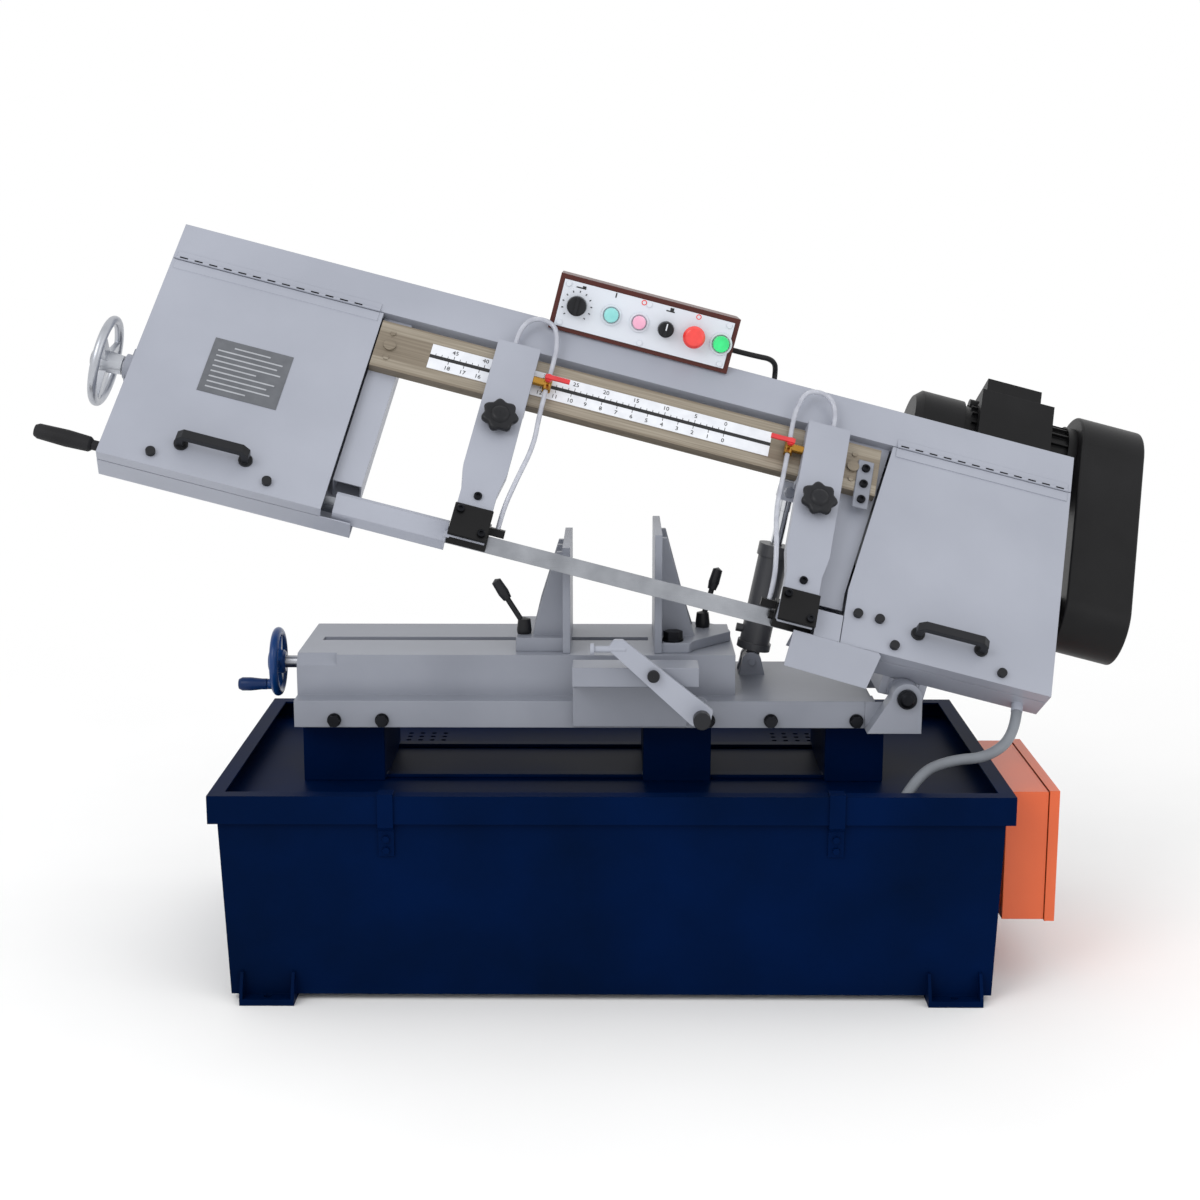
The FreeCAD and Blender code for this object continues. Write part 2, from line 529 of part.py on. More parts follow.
node("left_lever", lever(lever_x.value, -60, base_top.value + S.run_fit.value, -32, 0))

inner = S.fixed_face + S.jaw_thick
fix_low = S.bed_high + gap
quadrant = plate("z", [(S.fixed_face + 1, S.jaw_deep - 30), (S.fixed_face + 1, -S.jaw_deep + 4),
                       (S.swivel_x + 26, -S.jaw_deep + 4),
                       (S.swivel_x + 34, -S.swivel_y), (S.swivel_x + 96, -S.swivel_y + 70),
                       (S.swivel_x + 92, -S.swivel_y + 108), (S.swivel_x + 60, -S.swivel_y + 140),
                       (S.fixed_face + 14, S.jaw_deep - 30)], fix_low, fix_low + 16, soft=6)
fixed = fuse(box(S.fixed_face, inner, -S.jaw_deep, S.jaw_deep - 20, fix_low, S.fixed_high), quadrant,
             *[plate("y", [(inner - 1, fix_low + 10), (inner - 1, S.fixed_high - 14), (inner + 9, S.fixed_high - 14),
                           (inner + 40, fix_low + 60), (inner + 56, fix_low + 10)], y, y + 12) for y in (-52, 40)])
pivot_hole = cyl("z", S.swivel_dia + 2 * S.run_fit, fix_low - 1, fix_low + 20, S.swivel_x, -S.swivel_y)
stud_x, stud_y, quad_top = 150, 20, fix_low + 16
node("fixed_jaw", cut(fixed, pivot_hole, cyl("z", socket, quad_top - 9, quad_top + 1, stud_x, stud_y)))
node("swivel_bolt", fuse(cyl("z", S.swivel_dia, S.bed_high - S.bed_top, fix_low + 16.5, S.swivel_x, -S.swivel_y),
                         cyl("z", 34, fix_low + 16.5, fix_low + 20, S.swivel_x, -S.swivel_y),
                         hexagon("z", 27, fix_low + 20, fix_low + 32, S.swivel_x, -S.swivel_y)))
node("right_lever", lever(stud_x, stud_y, quad_top.value + S.run_fit.value, 20, 30))

# ---------------------------------------------------------------- lifting cylinder (rest length found from its two eyes)
eye_world = UPRIGHT.multVec(Vector(S.eye_x.value, S.blade_front.value + S.cyl_y.value, S.eye_z.value))
foot = Vector(S.cyl_x.value, S.cyl_y.value, S.cyl_z.value + 40)
reach = (eye_world - foot).Length
heading = math.degrees(math.atan2(eye_world.x - foot.x, eye_world.z - foot.z))
RAM = Placement(foot, Rotation(AXES["y"], heading))
barrel = fuse(cyl("z", S.cyl_dia, 20, 190, 0, 0), cyl("z", S.cyl_dia + 6, 176, 196, 0, 0),
              cyl("y", 30, -13, 13, 0, 0), box(-11, 11, -13, 13, 0, 26), cyl("z", S.cyl_dia + 6, 18, 30, 0, 0),
              cyl("x", 14, -S.cyl_dia / 2 - 10, 0, 0, 48))
cavity = fuse(cyl("z", S.cyl_bore, 34, 184, 0, 0), cyl("z", S.rod_dia + 2 * S.run_fit, 180, 200, 0, 0),
              cyl("y", S.pin_dia + 2 * S.run_fit, -14, 14, 0, 0))
node("cylinder_barrel", cut(barrel, cavity), RAM)
piston = fuse(cyl("z", S.rod_dia, 91, reach - 10, 0, 0), cyl("z", S.cyl_bore - 2 * S.run_fit, 91, 105, 0, 0),
              cyl("y", 28, -9, 9, 0, reach), cyl("z", 22, reach - 34, reach - 8, 0, 0),
              cyl("y", S.pin_dia, -26, 26, 0, reach), cyl("y", 18, -26, -23, 0, reach),
              cyl("y", 18, 23, 26, 0, reach))
node("cylinder_rod", piston, RAM)

# ---------------------------------------------------------------- bow frame
half = S.cover_half
rear = half - S.frame_wall
wheel_x = -S.wheel_left
wheel_gap = (S.blade_length - math.pi * S.wheel_dia) / 2
drive_x = wheel_x + wheel_gap
wheel_z = S.wheel_dia / 2
door_y = -half + S.door_deep + S.door_gap
hinge_y = -half - S.knuckle / 2
post_a = (-S.post_left - S.post_wide, -S.post_left)
post_b = (-S.post_right, -S.post_right + S.post_wide)


def pan(left, right, walls):
    """Back plate of a wheel housing with its rim walls."""
    parts = [box(left, right, rear, half, -S.cover_low, S.door_high + 1)]
    for wall in walls:
        parts.append(wall)
    return parts


beam = cut(box(-S.cover_left, S.cover_right, -half, half, S.door_high, S.cover_high),
           box(-S.cover_left + S.frame_wall, S.cover_right - S.frame_wall, -half + S.frame_wall,
               half - S.frame_wall, S.door_high + S.frame_wall, S.cover_high - S.frame_wall))
back_left = pan(-S.cover_left, post_a[1], [
    box(-S.cover_left, -S.cover_left + S.frame_wall, door_y, half, -S.cover_low, S.door_high + 1),
    box(-S.cover_left, post_a[1], door_y, half, -S.cover_low, -S.cover_low + S.sheet)])
back_right = pan(post_b[0], S.cover_right, [
    box(S.cover_right - S.frame_wall, S.cover_right, door_y, half, -S.cover_low, S.door_high + 1),
    box(post_b[0], S.cover_right, door_y, half, -S.cover_low, -S.cover_low + S.sheet)])
window = (S.wheel_dia - 24, S.wheel_dia + 18)
face = -S.post_front + S.post_face
posts = [cut(box(post_a[0], post_a[1], -S.post_front, rear + 1, S.post_foot, S.door_high + 1),
             box(post_a[0] + 3, post_a[1] - 3, face, rear, S.post_foot - 1, S.door_high - 4),
             box(post_a[0] - 1, post_a[1] + 1, face, 20, window[0], window[1])),
         plate("y", [(post_b[0], S.post_foot), (post_b[1], S.post_foot), (post_b[1], S.slant_low),
                     (-S.slant_top - S.door_gap, S.door_high + 1), (post_b[0], S.door_high + 1)],
               -S.post_front, face),
         cut(box(post_b[0], post_b[0] + 3, -S.post_front, rear + 1, S.post_foot, S.door_high + 1),
             box(post_b[0] - 1, post_b[0] + 4, face, 20, window[0], window[1]))]
axles = []
for x, deep in ((wheel_x, 24), (drive_x, 24)):
    axles.append(cyl("y", 70, 20, rear + 1, x, wheel_z))
    axles.append(cyl("y", S.wheel_axle, -24, rear + 1, x, wheel_z))
# two slotted ears reach from the right post round the lifting cylinder's upper pin (upright frame)
eye_y = S.blade_front + S.cyl_y
slot_turn = math.radians(S.slot_lean.value)
slot_wide = S.pin_dia + 2 * S.slot_side
far_x, far_z = S.eye_x + S.slot_run * math.cos(slot_turn), S.eye_z + S.slot_run * math.sin(slot_turn)
side_x, side_z = slot_wide / 2 * math.sin(slot_turn), slot_wide / 2 * math.cos(slot_turn)
near, over = eye_y - 24, eye_y + 24
slot = [cyl("y", slot_wide, near, over, S.eye_x, S.eye_z), cyl("y", slot_wide, near, over, far_x, far_z),
        plate("y", [(S.eye_x - side_x, S.eye_z + side_z), (far_x - side_x, far_z + side_z),
                    (far_x + side_x, far_z - side_z), (S.eye_x + side_x, S.eye_z - side_z)], near, over)]
ears = [box(post_b[0] - 18, post_b[0] + 1, eye_y - 22, eye_y + 22, S.eye_z - 18, S.eye_z + 18)]
for y0, y1 in ((eye_y - 22, eye_y - 12), (eye_y + 12, eye_y + 22)):
    ears.append(box(S.eye_x - 15, post_b[0] + 1, y0, y1, S.eye_z - 15, S.eye_z + 17))
hangers = [cut(fuse(*ears), *slot)]
hinges = []
for left, right in ((-S.cover_left + 6, post_a[0] - 8), (-S.slant_top + 6, S.cover_right - 6)):
    hinges.append(cyl("x", S.knuckle, left, right, hinge_y, S.door_high))
    hinges.append(box(left, right, hinge_y, -half + 1, S.door_high, S.door_high + S.knuckle / 2))
    hinges.append(box(left, right, -half - 1.5, -half + 1, S.door_high, S.door_high + 14))
# the tension screw's block on the free end, and the drain spout under the other
end_x = -S.cover_left
block = cut(fuse(cyl("x", 40, end_x - 14, end_x - 0.3, 0, S.tension_z),
                 box(end_x - 8, end_x + 1, -9, 28, S.tension_z - 30, S.tension_z + 30)),
            cyl("x", 20 + 2 * S.run_fit, end_x - 20, end_x - 3, 0, S.tension_z))
spout = ring("z", 18, 12, -S.cover_low - 14, -S.cover_low + 1, 178, 16)
raked = fuse(beam, block, spout, *hinges, *back_left, *back_right, *posts, *axles, frame=LEAN)
saddle = cyl("y", S.tube_dia + 1, -20, 12, 0, -S.blade_lift)
node("bow_frame", cut(fuse(raked, *hangers), saddle), UPRIGHT)

# ---------------------------------------------------------------- hinge arm, from the pivot tube up the back of the bow
tilt = math.radians(S.bow_rake.value)


def leaned(low, deep):
    """Level and height of a point given in the raked plane: (y, z) in the upright frame."""
    low, deep = size(low).value, size(deep).value
    return (low * math.sin(tilt) + deep * math.cos(tilt), low * math.cos(tilt) - deep * math.sin(tilt))


def behind(at, off=0.0):
    return leaned(at, S.cover_half + off)


tube_end = S.blade_front + S.lug_rear - S.lug_thick - S.end_gap
tube_start = S.blade_front - S.lug_front + S.lug_thick + S.end_gap
heel = behind(-S.cover_low.value, 0.03)
crown = behind(80, 0.03)
toe = -S.blade_lift - 12
ribs = []
for x in (-36, 24):
    ribs.append(plate("x", [heel, crown, leaned(80, 160), (tube_end, toe + 24), (tube_end, toe), (heel[0], toe)],
                      x, x + 12))
ribs.append(plate("x", [heel, crown, (crown[0] + 9, crown[1] - 8), (heel[0] + 12, heel[1] - 2)], -36, 36))
tube = cut(fuse(cyl("y", S.tube_dia, tube_start, tube_end, 0, -S.blade_lift), *ribs,
                box(-36, 36, heel[0] + 1, heel[0] + 13, toe, heel[1] - 1)),
           cyl("y", S.shaft_dia + 2 * S.run_fit, tube_start - 1, tube_end + 1, 0, -S.blade_lift))
node("hinge_arm", tube, UPRIGHT)


# ---------------------------------------------------------------- doors
def lid(left, right, walls):
    skin = box(left, right, -half, -half + S.sheet, -S.cover_low, S.door_high - S.door_gap)
    edges = []
    low, high = -S.cover_low, S.door_high - S.door_gap
    deep = -half + S.door_deep
    if "l" in walls:
        edges.append(box(left, left + S.sheet, -half, deep, low, high))
    if "r" in walls:
        edges.append(box(right - S.sheet, right, -half, deep, low, high))
    edges.append(box(left, right, -half, deep, low, low + S.sheet))
    edges.append(box(left, right, -half, -half + 12, high - S.sheet, high))
    return fuse(skin, *edges)


def handle(left, right, z):
    """Bent bar pull on a door."""
    bar = plate("z", [(left, -half), (left, -half - 24), (left + 10, -half - 34), (right - 10, -half - 34),
                      (right, -half - 24), (right, -half), (right - 11, -half), (right - 11, -half - 20),
                      (right - 14, -half - 23), (left + 14, -half - 23), (left + 11, -half - 20), (left + 11, -half)],
                z - 7, z + 7)
    return fuse(bar, cyl("y", 22, -half - 4, -half, left + 6, z), cyl("y", 22, -half - 4, -half, right - 6, z))



def leaf(left, right):
    """Upper hinge leaf of a door, between two edges."""
    return box(left, right, -half - 1.5, -half + 1, S.door_high - 20, S.door_high - S.knuckle / 2 - 0.5)


left_edge = post_a[0] - S.door_gap
right_edge = post_b[1] + S.door_gap
left_lid = fuse(lid(-S.cover_left, left_edge, "l"), leaf(-S.cover_left + 6, post_a[0] - 8))
top_edge = S.door_high - S.door_gap
front = plate("y", [(right_edge, -S.cover_low), (S.cover_right, -S.cover_low), (S.cover_right, top_edge),
                    (-S.slant_top, top_edge), (right_edge, S.slant_low)], -half, -half + S.sheet)
right_lid = fuse(leaf(-S.slant_top + 6, S.cover_right - 6), front,
                 box(S.cover_right - S.sheet, S.cover_right, -half, -half + S.door_deep, -S.cover_low, top_edge),
                 box(right_edge, S.cover_right, -half, -half + S.door_deep, -S.cover_low, -S.cover_low + S.sheet),
                 box(-S.slant_top, S.cover_right, -half, -half + 12, top_edge - S.sheet, top_edge))
knobs_l = [cyl("y", 15, -half - 7, -half, x, -9) for x in (-1216, -1035)]
knobs_r = [cyl("y", 15, -half - 7, -half, x, z) for x, z in ((-104, 26), (-69, 26), (-40, -13), (133, -13))]
node("left_door", left_lid, RAKED)
node("right_door", right_lid, RAKED)
node("left_handle", fuse(handle(-1183, -1070, 18), *knobs_l, frame=RAKED))
node("right_handle", fuse(handle(-12, 102, 18), *knobs_r, frame=RAKED))

# ---------------------------------------------------------------- band wheels and blade
rim = S.wheel_dia / 2 - S.band_gap
band = S.wheel_wide / 2
for label, x in (("idler_wheel", wheel_x), ("drive_wheel", drive_x)):
    disc = turned("y", [(S.wheel_axle / 2 + S.run_fit, -22), (36, -22), (40, -6), (rim - 22, -6), (rim - 16, -band),
                        (rim, -band), (rim, band), (rim - 16, band), (rim - 22, 6), (40, 6), (36, 19),
                        (S.wheel_axle / 2 + S.run_fit, 19)], x, 0, wheel_z)
    windows = []
    for step in range(5):
        a = math.radians(72 * step + 18)
        windows.append(cyl("y", 52, -20, 20, x + 88 * math.cos(a), wheel_z + 88 * math.sin(a)))
    node(label, cut(disc, *windows), RAKED)

wide, thick = S.blade_width / 2, S.blade_thick
loops = []
for x, side in ((wheel_x, -1), (drive_x, 1)):
    hoop = ring("y", S.wheel_dia + 2 * thick, S.wheel_dia, -wide, wide, x, wheel_z)
    x0, x1 = (x - S.wheel_dia, x) if side < 0 else (x, x + S.wheel_dia)
    loops.append(common(hoop, box(x0, x1, -wide - 1, wide + 1, -S.wheel_dia, 2 * S.wheel_dia)))
loops.append(box(wheel_x, drive_x, -wide, wide, S.wheel_dia, S.wheel_dia + thick))


def strip(x, turn):
    """Blade section at x: 0 is flat on the wheels, 1 is upright in the guides."""
    a = math.radians(-(90 - S.bow_rake.value) * turn)
    y, z = Vector(0, math.cos(a), math.sin(a)), Vector(0, -math.sin(a), math.cos(a))
    h, t = wide.value, thick.value / 2
    middle = Vector(size(x).value, 0, -t * (1 - turn))
    spots = [middle + y * (h * i) + z * (t * j) for i, j in ((-1, -1), (1, -1), (1, 1), (-1, 1))]
    return Part.makePolygon(spots + spots[:1])


guide_l = (-S.arm_left.value - 31, -S.arm_left.value + 31)
guide_r = (-S.arm_right.value - 31, -S.arm_right.value + 31)
lead = 24
upright_from = guide_l[0] - 12 - S.arm_travel.value
stations = [(wheel_x.value, 0)]
for a, b, one, two in ((wheel_x.value + lead, upright_from, 0, 1), (upright_from, guide_r[1] + 12, 1, 1),
                       (guide_r[1] + 12, drive_x.value - lead, 1, 0)):
    many = 1 if one == two else 8
    for k in range(many):
        stations.append((a + (b - a) * k / many, one + (two - one) * k / many))
stations += [(drive_x.value - lead, 0), (drive_x.value, 0)]
runs = []
for (xa, ta), (xb, tb) in zip(stations, stations[1:]):
    run = Part.makeLoft([strip(xa, ta), strip(xb, tb)], True, True)
    piece = doc.addObject("Part::Feature", fresh("Run"))
    piece.Shape = run
    runs.append(piece)
node("blade", fuse(*loops, *runs), RAKED)

# ---------------------------------------------------------------- guide bar
bar_y = (-S.post_front - S.bar_thick, -S.post_front)
bar_x = (post_a[0] + 1, post_b[1] + S.bar_over)
bar = box(bar_x[0], bar_x[1], bar_y[0], bar_y[1], S.bar_low, S.bar_high)
ends = []
for x in (post_a[1] - 23, post_b[0] + 23):
    mid = (S.bar_low + S.bar_high) / 2
    ends.append(cyl("y", 20, bar_y[0] - 3.5, bar_y[0], x, mid))
    ends += [cyl("y", 9, bar_y[0] - 2, bar_y[0], x, mid + dz) for dz in (-24, 24)]
node("guide_bar", fuse(bar, *ends), RAKED)


# ---------------------------------------------------------------- guide arms, blocks and knobs
def arm(x, reach):
    """Arm on the guide bar; reach is how far right its rear lips run."""
    y1 = -S.post_front - S.bar_thick - S.arm_gap - S.bar_lip + 1
    y0 = y1 - S.arm_thick
    w, f = S.arm_wide / 2, S.arm_foot / 2
    blade = plate("y", [(x - w, S.arm_high), (x - w, 100), (x - f, 60), (x - f, -S.arm_low), (x + f, -S.arm_low),
                        (x + f, 60), (x + w, 100), (x + w, S.arm_high)], y0, y1)
    gib = S.arm_gap
    low, high = S.bar_low - gib, S.bar_high + gib
    pads = [box(x - w, x + w, y1 - 1, bar_y[0] - gib, 250, 268), box(x - w, x + w, y1 - 1, bar_y[0] - gib, 318, 334)]
    jaw = [box(x - w, x + w, y1 - 1, -S.post_front - 0.3, high, S.arm_high),
           box(x - w, x + w, y1 - 1, -S.post_front - 0.3, low - 10, low),
           box(x - w, reach, -S.post_front - 1, -S.post_front + 8, low - 10, low),
           box(x - w, reach, -S.post_front + gib, -S.post_front + 8, low - 10, low + 40)]
    return [blade, *jaw, *pads], y0


for label, x, side in (("left", -S.arm_left, -1), ("right", -S.arm_right, 1)):
    parts, y0 = arm(x, x + S.arm_wide / 2 if side < 0 else post_b[0] - 2)
    plate_arm = cut(fuse(*parts), cyl("y", S.stud_dia + 2 * S.run_fit, y0 - 1, y0 + 30, x, S.arm_knob_z))
    knuckle = box(x - S.arm_foot / 2, x + S.arm_foot / 2, -46, -20, 6, 34)
    leaned_arm = fuse(plate_arm, cyl("y", 16, y0 - 5, y0 + 1, x, 9), frame=LEAN)
    extra = []
    if side < 0:
        left, right = x - 210, x - 36
        extra.append(plate("x", [(-10, 22), (-16, 20), (-22, -6), (-13, -21), (-14.5, -22.5), (-24, -6.5),
                                 (-18, 21.5), (-10, 24)], left, right + 4))
        extra.append(box(right, x - S.arm_foot / 2 + 1, -36, -20.3, 2, 12))
    node(label + "_arm", fuse(leaned_arm, knuckle, *extra), UPRIGHT)
    slit = S.blade_thick / 2 + S.guide_fit
    inlet = x - side * 42
    block = fuse(box(x - 31, x + 31, -20, 16, 15, 30), box(x - 31, x + 31, -20, -slit, -9, 16),
                 box(x - 31, x + 31, slit, 16, -9, 16), cyl("x", 12, x - 38, x - 31, -10, 6),
                 box(inlet - 12, inlet + 12, -6, 6, 16, 28))
    node(label + "_guide_block", block, UPRIGHT)
    star = turned("y", [(0, 0), (11, 0), (13, -3), (S.knob_dia / 2 - 4, -6), (S.knob_dia / 2, -10),
                        (S.knob_dia / 2, -18), (S.knob_dia / 2 - 4, -S.knob_deep), (0, -S.knob_deep)],
                  x, y0 - 0.2, S.arm_knob_z)
    notches = []
    for k in range(6):
        a = math.radians(60 * k + 30)
        notches.append(cyl("y", 14, y0 - 40, y0, x + 36 * math.cos(a), S.arm_knob_z + 36 * math.sin(a)))
    node(label + "_knob", fuse(cut(star, *notches), cyl("y", S.stud_dia, y0 - 2, y0 + 12, x, S.arm_knob_z)), RAKED)

# guard below the pivot end: a face under the post, a hanging skirt and a ledge under the door
skirt = leaned(-S.cover_low - 3.5, -S.cover_half - 2)
ledge = fuse(box(-S.arm_right + 32.5, post_b[1], -half - 2, -half, -S.cover_low - 3.5, 16),
             box(-S.arm_right + 32.5, post_b[1], -half - 1, -S.post_front - 14, 14, 16),
             box(-199, -62, -half - 2, 12, -S.cover_low - 3.5, -S.cover_low - 1.5),
             box(post_b[0] + 2, -62, door_y + 1, 12, -S.cover_low - 1.6, -S.cover_low), frame=LEAN)
node("right_guard", fuse(ledge, plate("y", [(-199, skirt[1] + 4), (-199, -58), (-66, -62), (-58, skirt[1] - 3),
                                            (-62, skirt[1] + 1)], skirt[0], skirt[0] + 2)), UPRIGHT)

# ---------------------------------------------------------------- tension handwheel and lowering grip
tread = [ring("x", S.tension_dia, S.tension_dia - 20, -S.tension_x - 8, -S.tension_x + 8, 0, S.tension_z),
         cyl("x", 36, -S.tension_x - 22, end_x - 14.5, 0, S.tension_z)]
for turn in (90, 210, 330):
    spoke = box(-S.tension_x - 5, -S.tension_x + 5, -7, 7, 14, 66)
    tread.append(reframe(spoke, Placement(Vector(0, 0, S.tension_z.value), Rotation(AXES["x"], turn))))
tread.append(cyl("x", 20, end_x - 20, end_x - 5, 0, S.tension_z))
node("tension_wheel", fuse(*tread), RAKED)
node("bow_grip", fuse(cyl("x", 16, end_x - 30, end_x, 12, 4), cyl("x", 34, end_x - 6, end_x, 12, 4),
                      turned("x", [(0, -112), (9, -110), (12, -104), (S.grip_dia / 2, -60), (12, -24), (9, -20), (0, -20)],
                             end_x, 12, 4)), RAKED)

# ---------------------------------------------------------------- control box, upright on the beam
blade_y = S.blade_front
pf = S.panel_front + blade_y
seat_a, seat_b = leaned(S.cover_high, -S.cover_half), leaned(S.cover_high, S.cover_half)
nose = leaned(S.cover_high - 15, -S.cover_half)
case = plate("x", [(pf, S.panel_high), (pf + S.panel_deep, S.panel_high), (pf + S.panel_deep, seat_b[1] + 26),
                   (seat_b[0], seat_b[1]), seat_a, nose, (pf, nose[1])], -S.panel_left, -S.panel_right)
panel = box(-S.panel_left + 8, -S.panel_right - 8, pf - 3, pf, S.panel_low + 8, S.panel_high - 8)
CONTROLS = (("speed_knob", -646, 33, 16), ("start_button", -588, 26, 9), ("jog_button", -541, 24, 9),
            ("mode_knob", -496, 27, 14), ("stop_button", -449, 30, 12), ("pump_button", -403, 29, 9))
stems = 10 + 2 * S.button_fit
holes = [cyl("y", stems, pf - 4, pf + 22, x, S.control_z) for _, x, _, _ in CONTROLS]
bezels = [ring("y", dia + 8, dia + 1, pf - 6, pf - 3, x, S.control_z) for _, x, dia, _ in CONTROLS[1:3] + CONTROLS[5:]]
rivets = [cyl("y", 9, pf - 5, pf - 3, -S.panel_left + dx, z) for dx in (16, 151, 286)
          for z in (S.panel_low + 14, S.panel_high - 14)]
node("control_box", cut(case, *[cyl("y", stems, pf - 1, pf + 22, x, S.control_z) for _, x, _, _ in CONTROLS]), UPRIGHT)
node("control_panel", cut(fuse(panel, *bezels, *rivets), *holes), UPRIGHT)
for label, x, dia, deep in CONTROLS:
    if label == "stop_button":
        shape = turned("y", [(0, 14), (5, 14), (5, -8), (10, -8), (10, -14), (18, -16), (18.5, -22), (14, -28), (0, -30)],
                       x, pf, S.control_z)
    elif label in ("speed_knob", "mode_knob"):
        shape = fuse(turned("y", [(0, 14), (5, 14), (5, -3.5), (dia / 2, -3.5), (dia / 2 - 1, -3.5 - deep),
                                  (dia / 2 - 3, -5 - deep), (0, -5 - deep)], x, pf, S.control_z),
                     box(x - 2.5, x + 2.5, pf - 9 - deep, pf - 4 - deep, S.control_z - dia / 2 + 2,
                         S.control_z + dia / 2 - 2))
    else:
        shape = turned("y", [(0, 14), (5, 14), (5, -7), (dia / 2 - 0.5, -7), (dia / 2 - 1.5, -7 - deep), (0, -8 - deep)],
                       x, pf, S.control_z)
    node(label, shape, UPRIGHT)

# ---------------------------------------------------------------- gearbox, motor and belt cover
my, mz, gy, gz = S.motor_y, S.motor_z, S.gear_y, S.gear_z
gear = fuse(box(drive_x - 70, drive_x + 70, half, gy + 52, 86, gz + 52),
            cyl("y", 110, gy + 50, gy + 62, drive_x, wheel_z), cyl("x", 84, drive_x - 80, drive_x - 68, gy, gz),
            cyl("x", 76, drive_x + 68, drive_x + 96, gy, gz), cyl("x", 54, drive_x + 90, S.motor_right, gy, gz))
node("gearbox", gear, RAKED)
barrel_dia = S.motor_dia - 14
fins = []
for k in range(20):
    a = math.radians(18 * k)
    fin = box(58, S.motor_right - 14, -1.5, 1.5, barrel_dia / 2 - 3, S.motor_dia / 2 - 1)
    spin = Placement(Vector(0, my.value, mz.value), Rotation(AXES["x"], 18 * k))
    fins.append(reframe(fin, spin))
motor = fuse(cyl("x", barrel_dia, 40, S.motor_right, my, mz), *fins,
             cyl("x", S.motor_dia, S.motor_left + 12, 46, my, mz),
             cone("x", S.motor_dia - 22, S.motor_dia, S.motor_left, S.motor_left + 12, my, mz),
             cyl("x", S.motor_dia + 4, S.motor_right - 16, S.motor_right, my, mz),
             box(84, 182, my - 44, my + 44, mz + 54, mz + 118), cyl("x", 22, 66, 86, my, mz + 84),
             box(70, 190, half + 14, my - 40, mz - 52, mz + 52), box(66, 194, half, half + 15, 336, mz + 60))
node("motor", motor, RAKED)
case_a, case_b = S.motor_right + 0.2, S.motor_right + S.belt_deep
low, high = S.belt_low, S.belt_high
oval = fuse(cyl("x", 2 * low, case_a, case_b, gy, gz), cyl("x", 2 * high, case_a, case_b, my, mz),
            plate("x", [(gy - low, gz), (gy + low, gz), (my + high, mz), (my - high, mz)], case_a, case_b))
wall = 4
hollow = fuse(cyl("x", 2 * (low - wall), case_a + wall, case_b - wall, gy, gz),
              cyl("x", 2 * (high - wall), case_a + wall, case_b - wall, my, mz),
              plate("x", [(gy - low + wall, gz), (gy + low - wall, gz), (my + high - wall, mz),
                          (my - high + wall, mz)], case_a + wall, case_b - wall))
node("belt_cover", cut(oval, hollow), RAKED)

# ---------------------------------------------------------------- coolant valves, hoses and cable
vy = -S.post_front - S.bar_thick - S.arm_gap - S.bar_lip + 1 - S.arm_thick


def run_from(x, side, points):
    """Hose points beside an arm at x, on its side away from the nearer post."""
    return [(x.value - side * off, y, z) for off, y, z in points]


for label, x, side in (("left", -S.arm_left, -1), ("right", -S.arm_right, 1)):
    vx, edge = x - side * (S.arm_wide / 2 + 24), x - side * S.arm_wide / 2
    left, right = (edge, vx) if side < 0 else (vx, edge)
    node(label + "_valve", fuse(cyl("x", 14, left, right, vy + 9, 290), cyl("z", 14, 276, 304, vx, vy + 9),
                                cyl("y", 9, vy - 4, vy + 9, vx, 290)), RAKED)
    left, right = (vx - 6, vx + 34) if side < 0 else (vx - 34, vx + 6)
    node(label + "_valve_lever", fuse(cyl("y", 13, vy - 10, vy - 4.3, vx, 290),
                                      box(left, right, vy - 12, vy - 9, 286, 294)), RAKED)
    foot_y, foot_z = leaned(275.7, vy + 9)
    feed = hose(run_from(x, side, [(59, foot_y, foot_z), (59, foot_y - 31.6, foot_z - 37.4), (63, 60, 160),
                                   (50, 14, 104), (42, 0, 58), (42, 0, 28.3)]), 8, UPRIGHT)
    rise = vy.value + 9
    loop = hose(run_from(x, side, [(59, rise, 304.3), (60, rise, 335), (58, -50, 368), (46, -53, 402),
                                   (10, -53, 404), (-8, -49, 374), (-7, rise, S.arm_high.value + 0.9)]), 8, RAKED)
    node(label + "_hose", fuse(feed, loop))
node("drain_hose", hose([(178, 16, -45.3), (178, 17, -88), (142, 19, -133), (86, 26, -150), (42, 36, -180),
                         (24, 41, -231)], 17, RAKED))
node("control_cable", hose([(-380.7, -42, 450), (-344, -42, 450), (-306, -30, 462), (-296, 4, 457),
                            (-296, 4, 422.2)], 9, RAKED))

doc.recompute()
for piece in nodes:
    bad = [word for word in piece.State if word in ("Invalid", "Error")]
    if bad or piece.Shape.isNull() or not piece.Shape.isValid() or not piece.Shape.Solids:
        raise RuntimeError("%s did not build: %s" % (piece.Label, piece.State))
for piece in nodes:
    piece.Shape.exportStep("parts/%s.step" % piece.Label)
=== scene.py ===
# %% [markdown]
# # A horizontal band saw, finished piece by piece
# The machine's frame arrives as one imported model: every plate, wheel and knob is already in its
# place, and the bow is raised. This lesson gives each piece its paint or metal, rounds the edges that
# a press brake or a mould would round, and adds the small printed and moulded details.

# %% Load the frame
import json
import math

import bmesh
import bpy
from mathutils import Matrix, Vector

